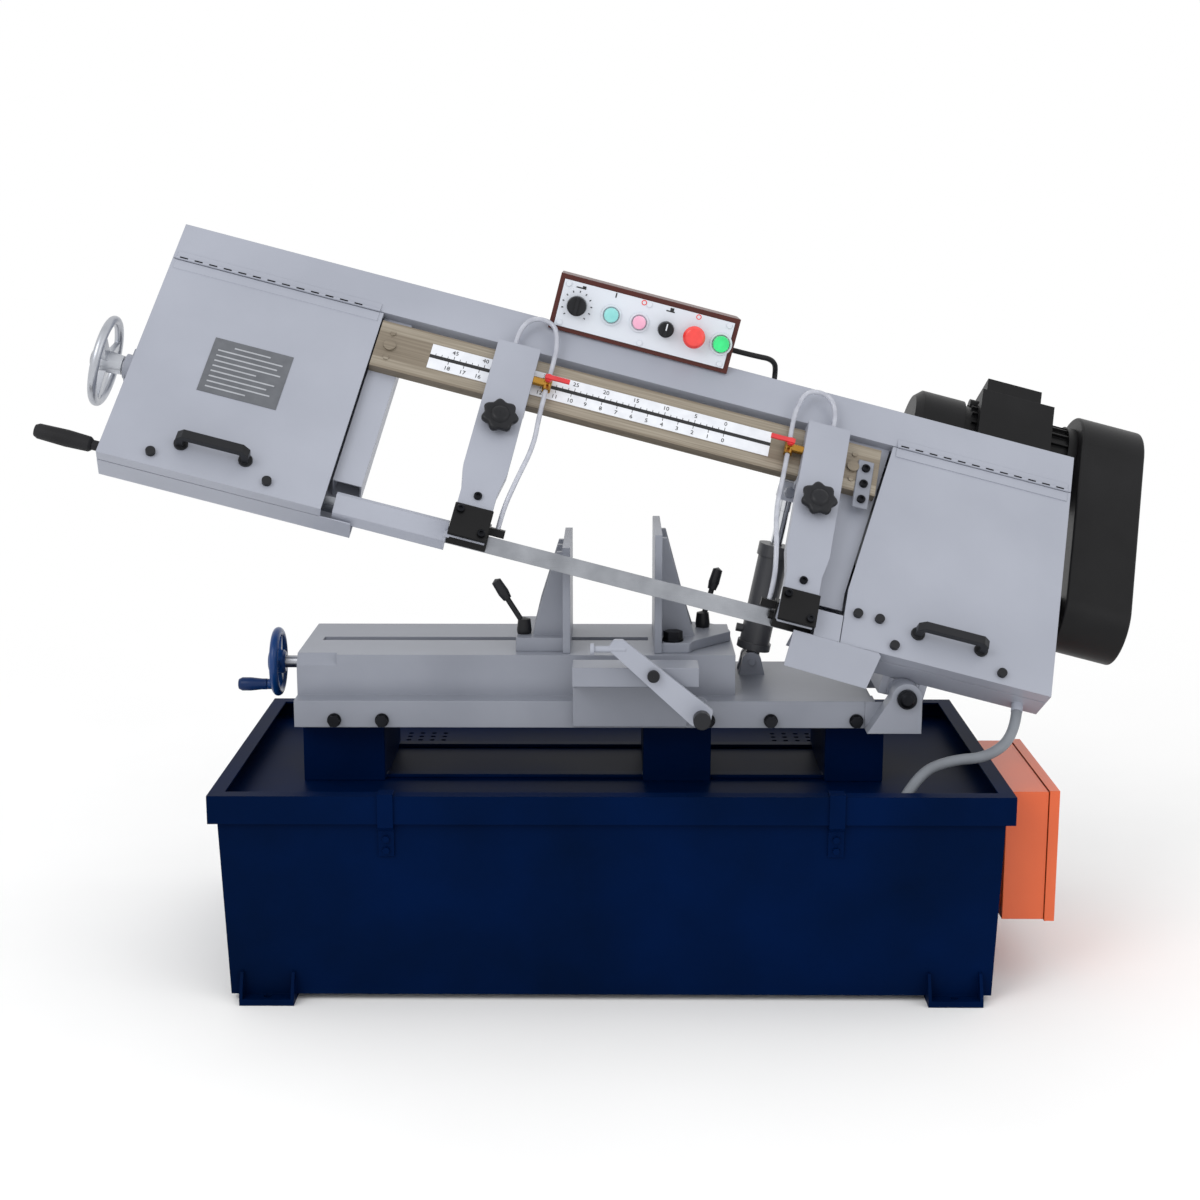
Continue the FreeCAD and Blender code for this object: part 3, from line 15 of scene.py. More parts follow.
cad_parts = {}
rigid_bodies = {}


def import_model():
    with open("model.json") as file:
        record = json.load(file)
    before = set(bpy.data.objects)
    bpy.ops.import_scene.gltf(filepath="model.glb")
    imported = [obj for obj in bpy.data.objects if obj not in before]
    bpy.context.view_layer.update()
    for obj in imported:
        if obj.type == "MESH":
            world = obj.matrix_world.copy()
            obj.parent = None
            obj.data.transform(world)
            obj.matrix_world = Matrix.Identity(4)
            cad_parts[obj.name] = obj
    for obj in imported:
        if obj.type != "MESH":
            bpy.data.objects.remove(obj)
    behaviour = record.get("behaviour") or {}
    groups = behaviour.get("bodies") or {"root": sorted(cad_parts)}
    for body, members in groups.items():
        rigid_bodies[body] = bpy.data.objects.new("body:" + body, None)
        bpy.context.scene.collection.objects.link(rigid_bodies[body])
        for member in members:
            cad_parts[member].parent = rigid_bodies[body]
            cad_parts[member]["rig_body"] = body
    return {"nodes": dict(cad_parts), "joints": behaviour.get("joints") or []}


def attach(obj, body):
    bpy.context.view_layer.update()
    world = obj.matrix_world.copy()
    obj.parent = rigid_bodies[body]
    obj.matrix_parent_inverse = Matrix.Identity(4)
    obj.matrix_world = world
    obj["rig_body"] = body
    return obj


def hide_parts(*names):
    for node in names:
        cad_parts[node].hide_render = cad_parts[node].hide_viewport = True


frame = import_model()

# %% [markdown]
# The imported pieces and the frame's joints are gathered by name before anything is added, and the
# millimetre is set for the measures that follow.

nodes = frame["nodes"]
joints = {joint["name"]: joint for joint in frame["joints"]}
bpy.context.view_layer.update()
MM = 0.001

# %% [markdown]
# The camera stands three metres in front of the machine and a little above it, looking slightly
# down. A long lens keeps the upright edges nearly parallel, as a catalogue picture does. It comes
# first, so that every later step can be judged from the same place.

# %% Camera
LENS_MM, SENSOR_MM = 57.38, 36.0
EYE = Vector((0.003624, -3.063877, 1.187421))
LOOK_DOWN, LOOK_RIGHT = 11.345, 0.42

camera_data = bpy.data.cameras.new("catalogue_camera")
camera_data.lens, camera_data.sensor_width = LENS_MM, SENSOR_MM
camera = bpy.data.objects.new("catalogue_camera", camera_data)
camera.location = EYE
camera.rotation_euler = (math.radians(90 - LOOK_DOWN), 0, math.radians(LOOK_RIGHT))
bpy.context.scene.collection.objects.link(camera)
bpy.context.scene.camera = camera
bpy.context.scene.view_settings.view_transform = "Standard"

# %% [markdown]
# The bow is leaned back and raised, so its parts line up with three directions of their own: along
# it, through its depth, and up its plane. The joints of the frame give all three, and one matrix
# then turns millimetres measured on the bow into places in the room.

# %% The bow's own directions
ALONG = Vector(joints["left_arm_slide"]["axis"]).normalized()
DEPTH = Vector(joints["drive_spin"]["axis"]).normalized()
RISE = ALONG.cross(DEPTH)
LEVEL = Vector((0, 1, 0))
IDLER_MM = Vector((-1118, 0, 160))
HUB = Vector(joints["idler_spin"]["pos_m"])
ORIGIN = HUB - (ALONG * IDLER_MM.x + RISE * IDLER_MM.z) * MM


def axes(x, y, z, at):
    """Matrix whose columns are three directions, at a point, scaled from millimetres."""
    turned = Matrix((x, y, z)).transposed().to_4x4()
    return Matrix.Translation(at) @ turned @ Matrix.Scale(MM, 4)


LEANED = axes(ALONG, DEPTH, RISE, ORIGIN)
UPRIGHT = axes(ALONG, LEVEL, ALONG.cross(LEVEL), ORIGIN)
WORLD = Matrix.Scale(MM, 4)
print("bow origin", [round(v, 4) for v in ORIGIN])

# %% [markdown]
# Colours are kept as the hex values a paint chart would give, and one function turns them into the
# linear light that shaders add up. A second one adds a node with its settings and links. Every
# material below is built from those two.

# %% Helpers for materials


def linear(code):
    """A paint chart's hex colour as linear light."""
    parts = [int(code[i:i + 2], 16) / 255 for i in (1, 3, 5)]
    return [c / 12.92 if c <= 0.04045 else ((c + 0.055) / 1.055) ** 2.4 for c in parts] + [1.0]


def add(tree, kind, links=None, stops=(), **settings):
    """Add a shader node: settings by name, links to values or to outputs, and a ramp's two stops."""
    made = tree.nodes.new(kind)
    for name, value in settings.items():
        setattr(made, name, value)
    for name, value in (links or {}).items():
        if isinstance(value, bpy.types.NodeSocket):
            tree.links.new(value, made.inputs[name])
        else:
            made.inputs[name].default_value = value
    for element, (at, code) in zip(made.color_ramp.elements if stops else (), stops):
        element.position, element.color = at, linear(code)
    return made


def start(name):
    """A new material with a shader and object coordinates, in metres."""
    made = bpy.data.materials.new(name)
    made.use_nodes = True
    tree = made.node_tree
    shader = tree.nodes["Principled BSDF"]
    place = add(tree, "ShaderNodeTexCoord").outputs["Object"]
    return made, tree, shader, place


print("helpers ready")

# %% [markdown]
# Machine paint is a two-pack enamel, sprayed over filler. It dries with orange peel, a faint ripple a
# few millimetres across, and its sheen drifts where the coat is thicker or has been wiped. The ripple
# is drawn at 5 mm, a little coarser than the real 2 mm, so that it shows at this distance. A bevel
# input rounds the light on every edge, because enamel never lies on a knife edge.

# %% Sprayed enamels
PEEL_MM, DRIFT_MM = 5.0, 220.0


def enamel(name, paint, deeper, gloss=0.38, coat=0.15, edge_mm=1.2, peel=0.05, mirror=0.5):
    """Sprayed paint: two tones that drift, orange peel and rounded edges."""
    made, tree, shader, place = start(name)
    drift = add(tree, "ShaderNodeTexNoise", {"Vector": place, "Scale": 1 / (DRIFT_MM * MM), "Detail": 4.0})
    ripple = add(tree, "ShaderNodeTexNoise", {"Vector": place, "Scale": 1 / (PEEL_MM * MM), "Detail": 1.0})
    tint = add(tree, "ShaderNodeValToRGB", {"Fac": drift.outputs["Fac"]}, ((0.35, deeper), (0.68, paint)))
    sheen = add(tree, "ShaderNodeMapRange", {"Value": drift.outputs["Fac"], "To Min": gloss - 0.06,
                                             "To Max": gloss + 0.08})
    edge = add(tree, "ShaderNodeBevel", {"Radius": edge_mm * MM}, samples=4)
    bump = add(tree, "ShaderNodeBump", {"Height": ripple.outputs["Fac"], "Strength": peel,
                                        "Distance": 0.0004, "Normal": edge.outputs["Normal"]})
    tree.links.new(tint.outputs["Color"], shader.inputs["Base Color"])
    tree.links.new(sheen.outputs["Result"], shader.inputs["Roughness"])
    tree.links.new(bump.outputs["Normal"], shader.inputs["Normal"])
    shader.inputs["IOR"].default_value = 1.5
    shader.inputs["Specular IOR Level"].default_value = mirror
    shader.inputs["Coat Weight"].default_value = coat
    shader.inputs["Coat Roughness"].default_value = 0.18
    return made


cover_grey = enamel("cover_grey_enamel", "#A0A4B0", "#989CA8", gloss=0.44)
casting_grey = enamel("casting_grey_enamel", "#898D98", "#7C808B", gloss=0.46, edge_mm=2.0, peel=0.16)
navy = enamel("navy_enamel", "#00143A", "#000F2C", gloss=0.44, coat=0.0, mirror=0.02)
orange = enamel("orange_enamel", "#E0622E", "#D65A28", gloss=0.40)
wheel_blue = enamel("wheel_blue_enamel", "#073A78", "#063062", gloss=0.28, coat=0.1, mirror=0.3)
box_brown = enamel("box_brown_enamel", "#54190E", "#45150C", gloss=0.45, mirror=0.3)
panel_white = enamel("panel_white_enamel", "#D9DEE6", "#D2D7E0", gloss=0.40, peel=0.02)
ram_grey = enamel("ram_grey_enamel", "#45464A", "#38393D", gloss=0.45)
print("enamels", 8)

# %% [markdown]
# The motor, gearbox and belt guard are black powder coat. The powder is melted in an oven, which
# leaves a satin grain about a millimetre across, coarser and duller than wet paint. Here it is drawn
# at 3 mm.

# %% Black powder coat and moulded black plastic
GRAIN_MM = 3.0


def satin_black(name, tone, lighter, rough, grain, grain_mm=GRAIN_MM, mirror=0.22):
    """A dull black or dark skin with a fine grain, for powder coat, nylon, rubber and vinyl."""
    made, tree, shader, place = start(name)
    speck = add(tree, "ShaderNodeTexNoise", {"Vector": place, "Scale": 1 / (grain_mm * MM), "Detail": 3.0})
    cloud = add(tree, "ShaderNodeTexNoise", {"Vector": place, "Scale": 9.0, "Detail": 4.0})
    edge = add(tree, "ShaderNodeBevel", {"Radius": 1.4 * MM}, samples=4)
    bump = add(tree, "ShaderNodeBump", {"Height": speck.outputs["Fac"], "Strength": grain,
                                        "Distance": 0.0005, "Normal": edge.outputs["Normal"]})
    tint = add(tree, "ShaderNodeValToRGB", {"Fac": cloud.outputs["Fac"]}, ((0.4, tone), (0.75, lighter)))
    sheen = add(tree, "ShaderNodeMapRange", {"Value": speck.outputs["Fac"], "To Min": rough - 0.08,
                                             "To Max": rough + 0.08})
    tree.links.new(tint.outputs["Color"], shader.inputs["Base Color"])
    tree.links.new(sheen.outputs["Result"], shader.inputs["Roughness"])
    tree.links.new(bump.outputs["Normal"], shader.inputs["Normal"])
    shader.inputs["Specular IOR Level"].default_value = mirror
    return made


powder_black = satin_black("black_powder_coat", "#0C0C0E", "#151517", 0.42, 0.25)
moulded_black = satin_black("moulded_black_nylon", "#1A1B1E", "#26272B", 0.36, 0.12)
grip_black = satin_black("grip_black_rubber", "#1B1B1D", "#2C2C2F", 0.62, 0.35, 1.5)
cable_black = satin_black("cable_black_pvc", "#111113", "#1A1A1C", 0.45, 0.10, 1.5)
hose_grey = satin_black("hose_grey_pvc", "#6E7278", "#858A91", 0.38, 0.12, 2.0)
crank_blue = satin_black("crank_deep_blue_nylon", "#06244F", "#0A2F63", 0.34, 0.10)
print("blacks", 6)

# %% [markdown]
# Bare metal keeps the marks of how it was cut. Ground steel has fine straight scratches, turned parts
# have rings, and a blued bolt is nearly black with a dull shine. One stretched noise gives the
# scratches: it is squeezed along the cut, so each mark is long and thin.

# %% Bare metals


def metal(name, tone, darker, rough, stretch=(1, 1, 1), mark_mm=3.0, scratch=0.12):
    """Bare metal with cutting marks, stretched along the cut, and a cloudy stain."""
    made, tree, shader, place = start(name)
    scale = [s / (mark_mm * MM) for s in stretch]
    turned = add(tree, "ShaderNodeMapping", {"Vector": place, "Scale": scale})
    marks = add(tree, "ShaderNodeTexNoise", {"Vector": turned.outputs["Vector"], "Scale": 1.0,
                                             "Detail": 3.0})
    stain = add(tree, "ShaderNodeTexNoise", {"Vector": place, "Scale": 14.0, "Detail": 5.0})
    edge = add(tree, "ShaderNodeBevel", {"Radius": 0.8 * MM}, samples=4)
    bump = add(tree, "ShaderNodeBump", {"Height": marks.outputs["Fac"], "Strength": scratch,
                                        "Distance": 0.0003, "Normal": edge.outputs["Normal"]})
    tint = add(tree, "ShaderNodeValToRGB", {"Fac": stain.outputs["Fac"]}, ((0.35, darker), (0.7, tone)))
    sheen = add(tree, "ShaderNodeMapRange", {"Value": marks.outputs["Fac"], "To Min": rough - 0.1,
                                             "To Max": rough + 0.1})
    tree.links.new(tint.outputs["Color"], shader.inputs["Base Color"])
    tree.links.new(sheen.outputs["Result"], shader.inputs["Roughness"])
    tree.links.new(bump.outputs["Normal"], shader.inputs["Normal"])
    shader.inputs["Metallic"].default_value = 1.0
    return made


ground_steel = metal("ground_steel", "#B9BCC2", "#9A9CA2", 0.34, (0.05, 1, 1))
spring_steel = metal("blade_spring_steel", "#A9ACB2", "#8C8F95", 0.30, (0.03, 1, 1))
blued_steel = metal("blued_steel", "#2B2C30", "#1C1D20", 0.42)
hard_chrome = metal("hard_chrome", "#D4D6DA", "#C6C8CC", 0.14, scratch=0.03)
cast_iron = metal("turned_cast_iron", "#7B7D80", "#5E6063", 0.48, mark_mm=2.0)
cast_aluminium = metal("cast_aluminium", "#C3C6CC", "#A9ACB3", 0.36, mark_mm=2.0)
valve_brass = metal("valve_brass", "#C79A4B", "#A67A34", 0.28)
print("metals", 7)

# %% [markdown]
# The guide bar is a planed steel slide with a coat of tan primer on its face, worn to metal along the
# two tracks that the arms clamp on. The tracks are picked out by height up the bow's plane, which is
# one dot product with the direction found above.

# %% Guide bar finish
TRACKS_MM = (259.0, 325.5)
TRACK_HALF_MM = 7.5


def bar_finish():
    """Tan primer over planed steel, worn bright along the two clamping tracks."""
    made, tree, shader, place = start("planed_tan_bar")
    height = add(tree, "ShaderNodeVectorMath", {0: place, 1: tuple(RISE)}, operation="DOT_PRODUCT")
    offset = ORIGIN.dot(RISE)
    worn = None
    for track in TRACKS_MM:
        away = add(tree, "ShaderNodeMath", {0: height.outputs["Value"], 1: offset + track * MM},
                   operation="SUBTRACT")
        far = add(tree, "ShaderNodeMath", {0: away.outputs[0]}, operation="ABSOLUTE")
        here = add(tree, "ShaderNodeMapRange", {"Value": far.outputs[0], "From Min": TRACK_HALF_MM * MM,
                                                "From Max": (TRACK_HALF_MM + 1) * MM,
                                                "To Min": 1.0, "To Max": 0.0})
        if worn is None:
            worn = here.outputs["Result"]
        else:
            worn = add(tree, "ShaderNodeMath", {0: worn, 1: here.outputs["Result"]},
                       operation="MAXIMUM").outputs[0]
    level = add(tree, "ShaderNodeVectorRotate", {"Vector": place, "Angle": math.atan2(ALONG.z, ALONG.x)},
                rotation_type="Y_AXIS")
    grain = add(tree, "ShaderNodeMapping", {"Vector": level.outputs["Vector"], "Scale": (9, 420, 420)})
    streak = add(tree, "ShaderNodeTexNoise", {"Vector": grain.outputs["Vector"], "Scale": 1.0,
                                              "Detail": 4.0})
    tan = add(tree, "ShaderNodeValToRGB", {"Fac": streak.outputs["Fac"]},
              ((0.3, "#766C5E"), (0.7, "#8A8071")))
    bright = add(tree, "ShaderNodeValToRGB", {"Fac": streak.outputs["Fac"]},
                 ((0.3, "#857C6D"), (0.7, "#A1988A")))
    colour = add(tree, "ShaderNodeMix", {0: worn, 6: tan.outputs[0], 7: bright.outputs[0]},
                 data_type="RGBA").outputs[2]
    edge = add(tree, "ShaderNodeBevel", {"Radius": 1.2 * MM}, samples=4)
    bump = add(tree, "ShaderNodeBump", {"Height": streak.outputs["Fac"], "Strength": 0.15,
                                        "Distance": 0.0003, "Normal": edge.outputs["Normal"]})
    tree.links.new(colour, shader.inputs["Base Color"])
    tree.links.new(bump.outputs["Normal"], shader.inputs["Normal"])
    shader.inputs["Metallic"].default_value = 0.35
    shader.inputs["Roughness"].default_value = 0.42
    return made


tan_bar = bar_finish()
print("bar finish", TRACKS_MM)

# %% [markdown]
# Lenses, levers and printed plates are glossy moulded plastic. Their colour runs right through, and
# a thin clear coat gives the small sharp highlight. The coolant tubes are clear vinyl, which looks
# milky grey where it curves away, so the tube lets some light through and keeps a grey tint.

# %% Plastics, lenses and tube


def glossy(name, tone, deeper, rough=0.22, coat=0.5):
    """Coloured plastic or print under a thin clear coat."""
    made, tree, shader, place = start(name)
    cloud = add(tree, "ShaderNodeTexNoise", {"Vector": place, "Scale": 60.0, "Detail": 2.0})
    edge = add(tree, "ShaderNodeBevel", {"Radius": 0.8 * MM}, samples=4)
    tint = add(tree, "ShaderNodeValToRGB", {"Fac": cloud.outputs["Fac"]}, ((0.3, deeper), (0.7, tone)))
    sheen = add(tree, "ShaderNodeMapRange", {"Value": cloud.outputs["Fac"], "To Min": rough - 0.05,
                                             "To Max": rough + 0.05})
    tree.links.new(tint.outputs["Color"], shader.inputs["Base Color"])
    tree.links.new(sheen.outputs["Result"], shader.inputs["Roughness"])
    tree.links.new(edge.outputs["Normal"], shader.inputs["Normal"])
    shader.inputs["Coat Weight"].default_value = coat
    return made


cyan_lens = glossy("cyan_lens", "#8FD6D4", "#7CC9C8")
pink_lens = glossy("pink_lens", "#F0B4CC", "#E6A2BF")
green_lens = glossy("green_lens", "#2BE884", "#1FD074")
red_mushroom = glossy("red_mushroom", "#F2423C", "#E03530")
lever_red = glossy("lever_red_vinyl", "#D5232B", "#BD1A22", rough=0.3)
print_white = glossy("scale_white_plate", "#E3E6EC", "#D8DBE2", rough=0.42, coat=0.1)
print_black = glossy("scale_black_print", "#17181B", "#101114", rough=0.5, coat=0.0)
plate_dark = glossy("data_plate_grey", "#5F6268", "#55585E", rough=0.45, coat=0.1)
plate_pale = glossy("data_plate_lines", "#A9ACB2", "#9DA0A6", rough=0.45, coat=0.0)
clear_tube = glossy("clear_vinyl_tube", "#C9CCD6", "#B7BAC6", rough=0.18, coat=0.3)
clear_tube.node_tree.nodes["Principled BSDF"].inputs["Transmission Weight"].default_value = 0.25
print("plastics", 10)

# %% [markdown]
# Six cords hang on the machine: a coolant loop and a coolant feed on each arm, the tray's drain hose
# and the control box's cable. They come before the solid pieces. Each is one smooth line with a round
# section. A loop rises from its valve and turns over into the arm, and a feed drops from the valve to
# the guide block.

# %% Hoses and cable
ARMS = {"left_arm": (-719.0, -1), "right_arm": (-200.0, 1)}
LEAN_DEG = 40
TUBE_DIA, DRAIN_DIA, CABLE_DIA = 8, 17, 9


def line(name, points, frame_of, dia, material, body, node):
    """A hose through control points, as a smooth curve."""
    data = bpy.data.curves.new(name, "CURVE")
    data.dimensions, data.bevel_depth, data.bevel_resolution = "3D", dia / 2 * MM, 5
    data.resolution_u, data.use_fill_caps = 14, True
    spline = data.splines.new("NURBS")
    spline.points.add(len(points) - 1)
    spots = [frame_of @ Vector(p) for p in points]
    for point, spot in zip(spline.points, spots):
        point.co = (*spot, 1.0)
    spline.order_u, spline.use_endpoint_u = 3, True
    data.materials.append(material)
    made = bpy.data.objects.new(name, data)
    bpy.context.scene.collection.objects.link(made)
    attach(made, body)
    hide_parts(node)
    return made


def leaned(low, deep):
    """Level depth and height of a point given in the leaned plane."""
    tilt = math.radians(LEAN_DEG)
    return (low * math.sin(tilt) + deep * math.cos(tilt), low * math.cos(tilt) - deep * math.sin(tilt))


VALVE_DEEP = -43.9
foot_y, foot_z = leaned(275.7, VALVE_DEEP)
FEED = [(59, foot_y, foot_z), (59, foot_y - 31.6, foot_z - 37.4), (63, 60, 160), (50, 14, 104), (42, 0, 58),
        (42, 0, 28.3)]
LOOP = [(59, VALVE_DEEP, 304.3), (60, VALVE_DEEP, 335), (58, -50, 368), (46, -53, 402), (10, -53, 404),
        (-8, -49, 374), (-7, VALVE_DEEP, 345.9)]
for body, (x, side) in ARMS.items():
    hand = body.split("_")[0]
    for word, route, frame_of, length in (("feed", FEED, UPRIGHT, 0.266), ("loop", LOOP, LEANED, 0.191)):
        points = [(x - side * off, y, z) for off, y, z in route]
        line(f"{hand}_coolant_{word}", points, frame_of, TUBE_DIA, clear_tube, body, f"{hand}_hose")
DRAIN = [(178, 16, -45.3), (178, 17, -88), (142, 19, -133), (86, 26, -150), (42, 36, -180), (24, 41, -231)]
CABLE = [(-380.7, -42, 450), (-344, -42, 450), (-306, -30, 462), (-296, 4, 457), (-296, 4, 422.2)]
line("tray_drain_hose", DRAIN, LEANED, DRAIN_DIA, hose_grey, "bow", "drain_hose")
line("control_box_cable", CABLE, LEANED, CABLE_DIA, cable_black, "bow", "control_cable")
print("cords", 6)

# %% [markdown]
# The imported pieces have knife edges, as a drawing has. Real sheet metal turns through a small radius,
# castings have fillets and mouldings are softer still. Each piece is copied, its flat facets are
# joined back into whole faces, and a bevel of the right size is cut on every sharp edge. The copy
# stands for the piece, and rides on the same body.

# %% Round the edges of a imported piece
WELD_M, FLAT_DEG, SHARP_DEG, CREASE_DEG = 0.00002, 0.6, 30.0, 38.0


def rounded(node, material, edge_mm, steps=2):
    """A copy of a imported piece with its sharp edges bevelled, in place of the piece."""
    cad = nodes[node]
    mesh = cad.data.copy()
    work = bmesh.new()
    work.from_mesh(mesh)
    bmesh.ops.remove_doubles(work, verts=work.verts, dist=WELD_M)
    bmesh.ops.dissolve_limit(work, angle_limit=math.radians(FLAT_DEG), verts=work.verts, edges=work.edges)
    work.to_mesh(mesh)
    work.free()
    mesh.materials.clear()
    mesh.materials.append(material)
    made = bpy.data.objects.new(node + "_finished", mesh)
    bpy.context.scene.collection.objects.link(made)
    bevel = made.modifiers.new("rounded_edges", "BEVEL")
    bevel.width, bevel.segments, bevel.limit_method = edge_mm * MM, steps, "ANGLE"
    bevel.angle_limit, bevel.use_clamp_overlap = math.radians(SHARP_DEG), True
    bpy.context.view_layer.update()
    shaped = bpy.data.meshes.new_from_object(made.evaluated_get(bpy.context.evaluated_depsgraph_get()))
    made.modifiers.clear()
    made.data = shaped
    shaped.shade_smooth()
    shaped.set_sharp_from_angle(angle=math.radians(CREASE_DEG))
    made.modifiers.new("even_shading", "WEIGHTED_NORMAL").keep_sharp = True
    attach(made, cad["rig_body"])
    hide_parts(node)
    return made


print("edges sharper than", SHARP_DEG, "degrees are rounded")

# %% [markdown]
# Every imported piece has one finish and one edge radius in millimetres. An edge of zero keeps the
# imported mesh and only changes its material, and so does the blade.

# %% Which finish and edge each piece has
FINISHES = {
    "chip_tray": (navy, 1.5), "tank": (navy, 1.5), "tray_straps": (navy, 0.8), "bed_pedestals": (navy, 1.5),
    "electrical_cabinet": (orange, 1.5), "cabinet_door": (orange, 1.5),
    "bed": (casting_grey, 1.6), "bed_bolts": (blued_steel, 0.7), "work_shelf": (casting_grey, 2.0),
    "stop_arm": (cover_grey, 1.0), "stop_knob": (moulded_black, 2.0), "pivot_shaft": (blued_steel, 1.0),
    "movable_jaw": (casting_grey, 1.6), "vise_screw": (ground_steel, 0.0), "crank_grip": (crank_blue, 1.0),
    "left_lever": (moulded_black, 0.8), "right_lever": (moulded_black, 0.8),
    "fixed_jaw": (casting_grey, 1.6), "swivel_bolt": (blued_steel, 1.0),
    "cylinder_barrel": (ram_grey, 1.2), "cylinder_rod": (hard_chrome, 0.6),
    "bow_frame": (cover_grey, 1.2), "hinge_arm": (cover_grey, 1.5), "left_door": (cover_grey, 1.0),
    "right_door": (cover_grey, 1.0),
    "left_handle": (moulded_black, 3.0), "right_handle": (moulded_black, 3.0),
    "idler_wheel": (cast_iron, 0.8), "drive_wheel": (cast_iron, 0.8), "guide_bar": (tan_bar, 1.0),
    "left_arm": (cover_grey, 1.2), "right_arm": (cover_grey, 1.2), "left_guide_block": (powder_black, 1.0),
    "right_guide_block": (powder_black, 1.0), "right_guard": (cover_grey, 0.8),
    "bow_grip": (grip_black, 1.0), "control_box": (box_brown, 2.0),
    "control_panel": (panel_white, 0.5), "speed_knob": (moulded_black, 1.0),
    "start_button": (cyan_lens, 1.2),
    "jog_button": (pink_lens, 1.2), "mode_knob": (moulded_black, 1.0), "stop_button": (red_mushroom, 1.5),
    "pump_button": (green_lens, 1.2), "gearbox": (powder_black, 2.0), "motor": (powder_black, 1.2),
    "belt_cover": (powder_black, 4.0), "left_valve": (valve_brass, 0.6), "right_valve": (valve_brass, 0.6),
    "left_valve_lever": (lever_red, 0.8), "right_valve_lever": (lever_red, 0.8),
}
for node, (material, edge_mm) in FINISHES.items():
    if edge_mm > 0:
        rounded(node, material, edge_mm, steps=3 if edge_mm >= 2 else 2)
    else:
        nodes[node].data.materials.clear()
        nodes[node].data.materials.append(material)
nodes["blade"].data.materials.clear()
nodes["blade"].data.materials.append(spring_steel)
print("finished pieces", len(FINISHES))

# %% [markdown]
# The small pieces are drawn straight into a mesh, in millimetres. A lathe spins a closed outline about
# X, a spoke is a four-sided bar that narrows outwards, and a slab is a block between two corners. The
# last tool turns such a mesh into a named piece on a body.

# %% Lathe, spoke and block


def stitch(work, rings):
    """Join a closed row of rings of points with four-sided faces."""
    for i, one in enumerate(rings):
        two = rings[(i + 1) % len(rings)]
        for k in range(len(one)):
            j = (k + 1) % len(one)
            work.faces.new((one[k], one[j], two[j], two[k]))


def lathe(work, outline, steps=56):
    """Spin a closed outline of (along, radius) points about X, into a bmesh."""
    rings = []
    for i in range(steps):
        a = 2 * math.pi * i / steps
        rings.append([work.verts.new((x, r * math.cos(a), r * math.sin(a))) for x, r in outline])
    stitch(work, rings)


def lathe_at(work, outline, steps, turn, spot):
    """Spin an outline, then turn it and set it at a spot."""
    before = set(work.verts)
    lathe(work, outline, steps)
    fresh = [v for v in work.verts if v not in before]
    bmesh.ops.rotate(work, verts=fresh, cent=(0, 0, 0), matrix=turn)
    bmesh.ops.translate(work, verts=fresh, vec=spot)


def bar(work, near, far, near_half, far_half, turn):
    """Tapered four-sided spoke from radius near to far, set at an angle about X."""
    corners = []
    for r, (h, w) in ((near, near_half), (far, far_half)):
        for sx, sy in ((-1, -1), (1, -1), (1, 1), (-1, 1)):
            y, z = sy * w, r
            corners.append(work.verts.new((sx * h, y * math.cos(turn) - z * math.sin(turn),
                                           y * math.sin(turn) + z * math.cos(turn))))
    work.faces.new(corners[3::-1])
    work.faces.new(corners[4:])
    for k in range(4):
        j = (k + 1) % 4
        work.faces.new((corners[k], corners[j], corners[4 + j], corners[4 + k]))


def slab(work, x0, x1, y0, y1, z0, z1):
    """A rectangular block between two corners, in millimetres."""
    spots = [work.verts.new((x, y, z)) for x in (x0, x1) for y in (y0, y1) for z in (z0, z1)]
    for f in ((0, 1, 3, 2), (4, 6, 7, 5), (0, 4, 5, 1), (2, 3, 7, 6), (0, 2, 6, 4), (1, 5, 7, 3)):
        work.faces.new([spots[i] for i in f])


def circle(x, r, radius, steps=16):
    """The outline of a round section, centred at a place along the shaft and a distance from it."""
    return [(x + radius * math.sin(2 * math.pi * k / steps), r + radius * math.cos(2 * math.pi * k / steps))
            for k in range(steps)]


def piece(name, work, frame_of, material, body, smooth_deg=40):
    """Turn a bmesh in millimetres into a named piece on a body."""
    bmesh.ops.recalc_face_normals(work, faces=work.faces)
    mesh = bpy.data.meshes.new(name)
    work.to_mesh(mesh)
    work.free()
    mesh.transform(frame_of)
    mesh.materials.append(material)
    mesh.shade_smooth()
    mesh.set_sharp_from_angle(angle=math.radians(smooth_deg))
    made = bpy.data.objects.new(name, mesh)
    bpy.context.scene.collection.objects.link(made)
    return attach(made, body)


FORWARD = Matrix.Rotation(-math.pi / 2, 4, "Z")
print("tools for small pieces ready")

# %% [markdown]
# Both handwheels have a round cast rim on three tapered spokes. The rim is a circle spun about the
# shaft, and the hub is an outline spun the same way. The vise wheel also carries the pin of its crank.

# %% Handwheels
SPOKE_ROOT, SPOKE_END, SPOKE_TAPER = 0.4, 0.6, 0.72


def handwheel(name, node, body, material, frame_of, rim_r, tube, hub, spoke_half, extra=()):
    """A rim of round section, a hub outline and three tapered spokes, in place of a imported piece."""
    work = bmesh.new()
    lathe(work, circle(0, rim_r, tube))
    lathe(work, hub)
    for turn in (90, 210, 330):
        bar(work, hub[-1][1] * SPOKE_ROOT, rim_r - tube * SPOKE_END, spoke_half,
            [v * SPOKE_TAPER for v in spoke_half], math.radians(turn))
    for add_on in extra:
        add_on(work)
    made = piece(name, work, frame_of, material, body)
    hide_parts(node)
    return made


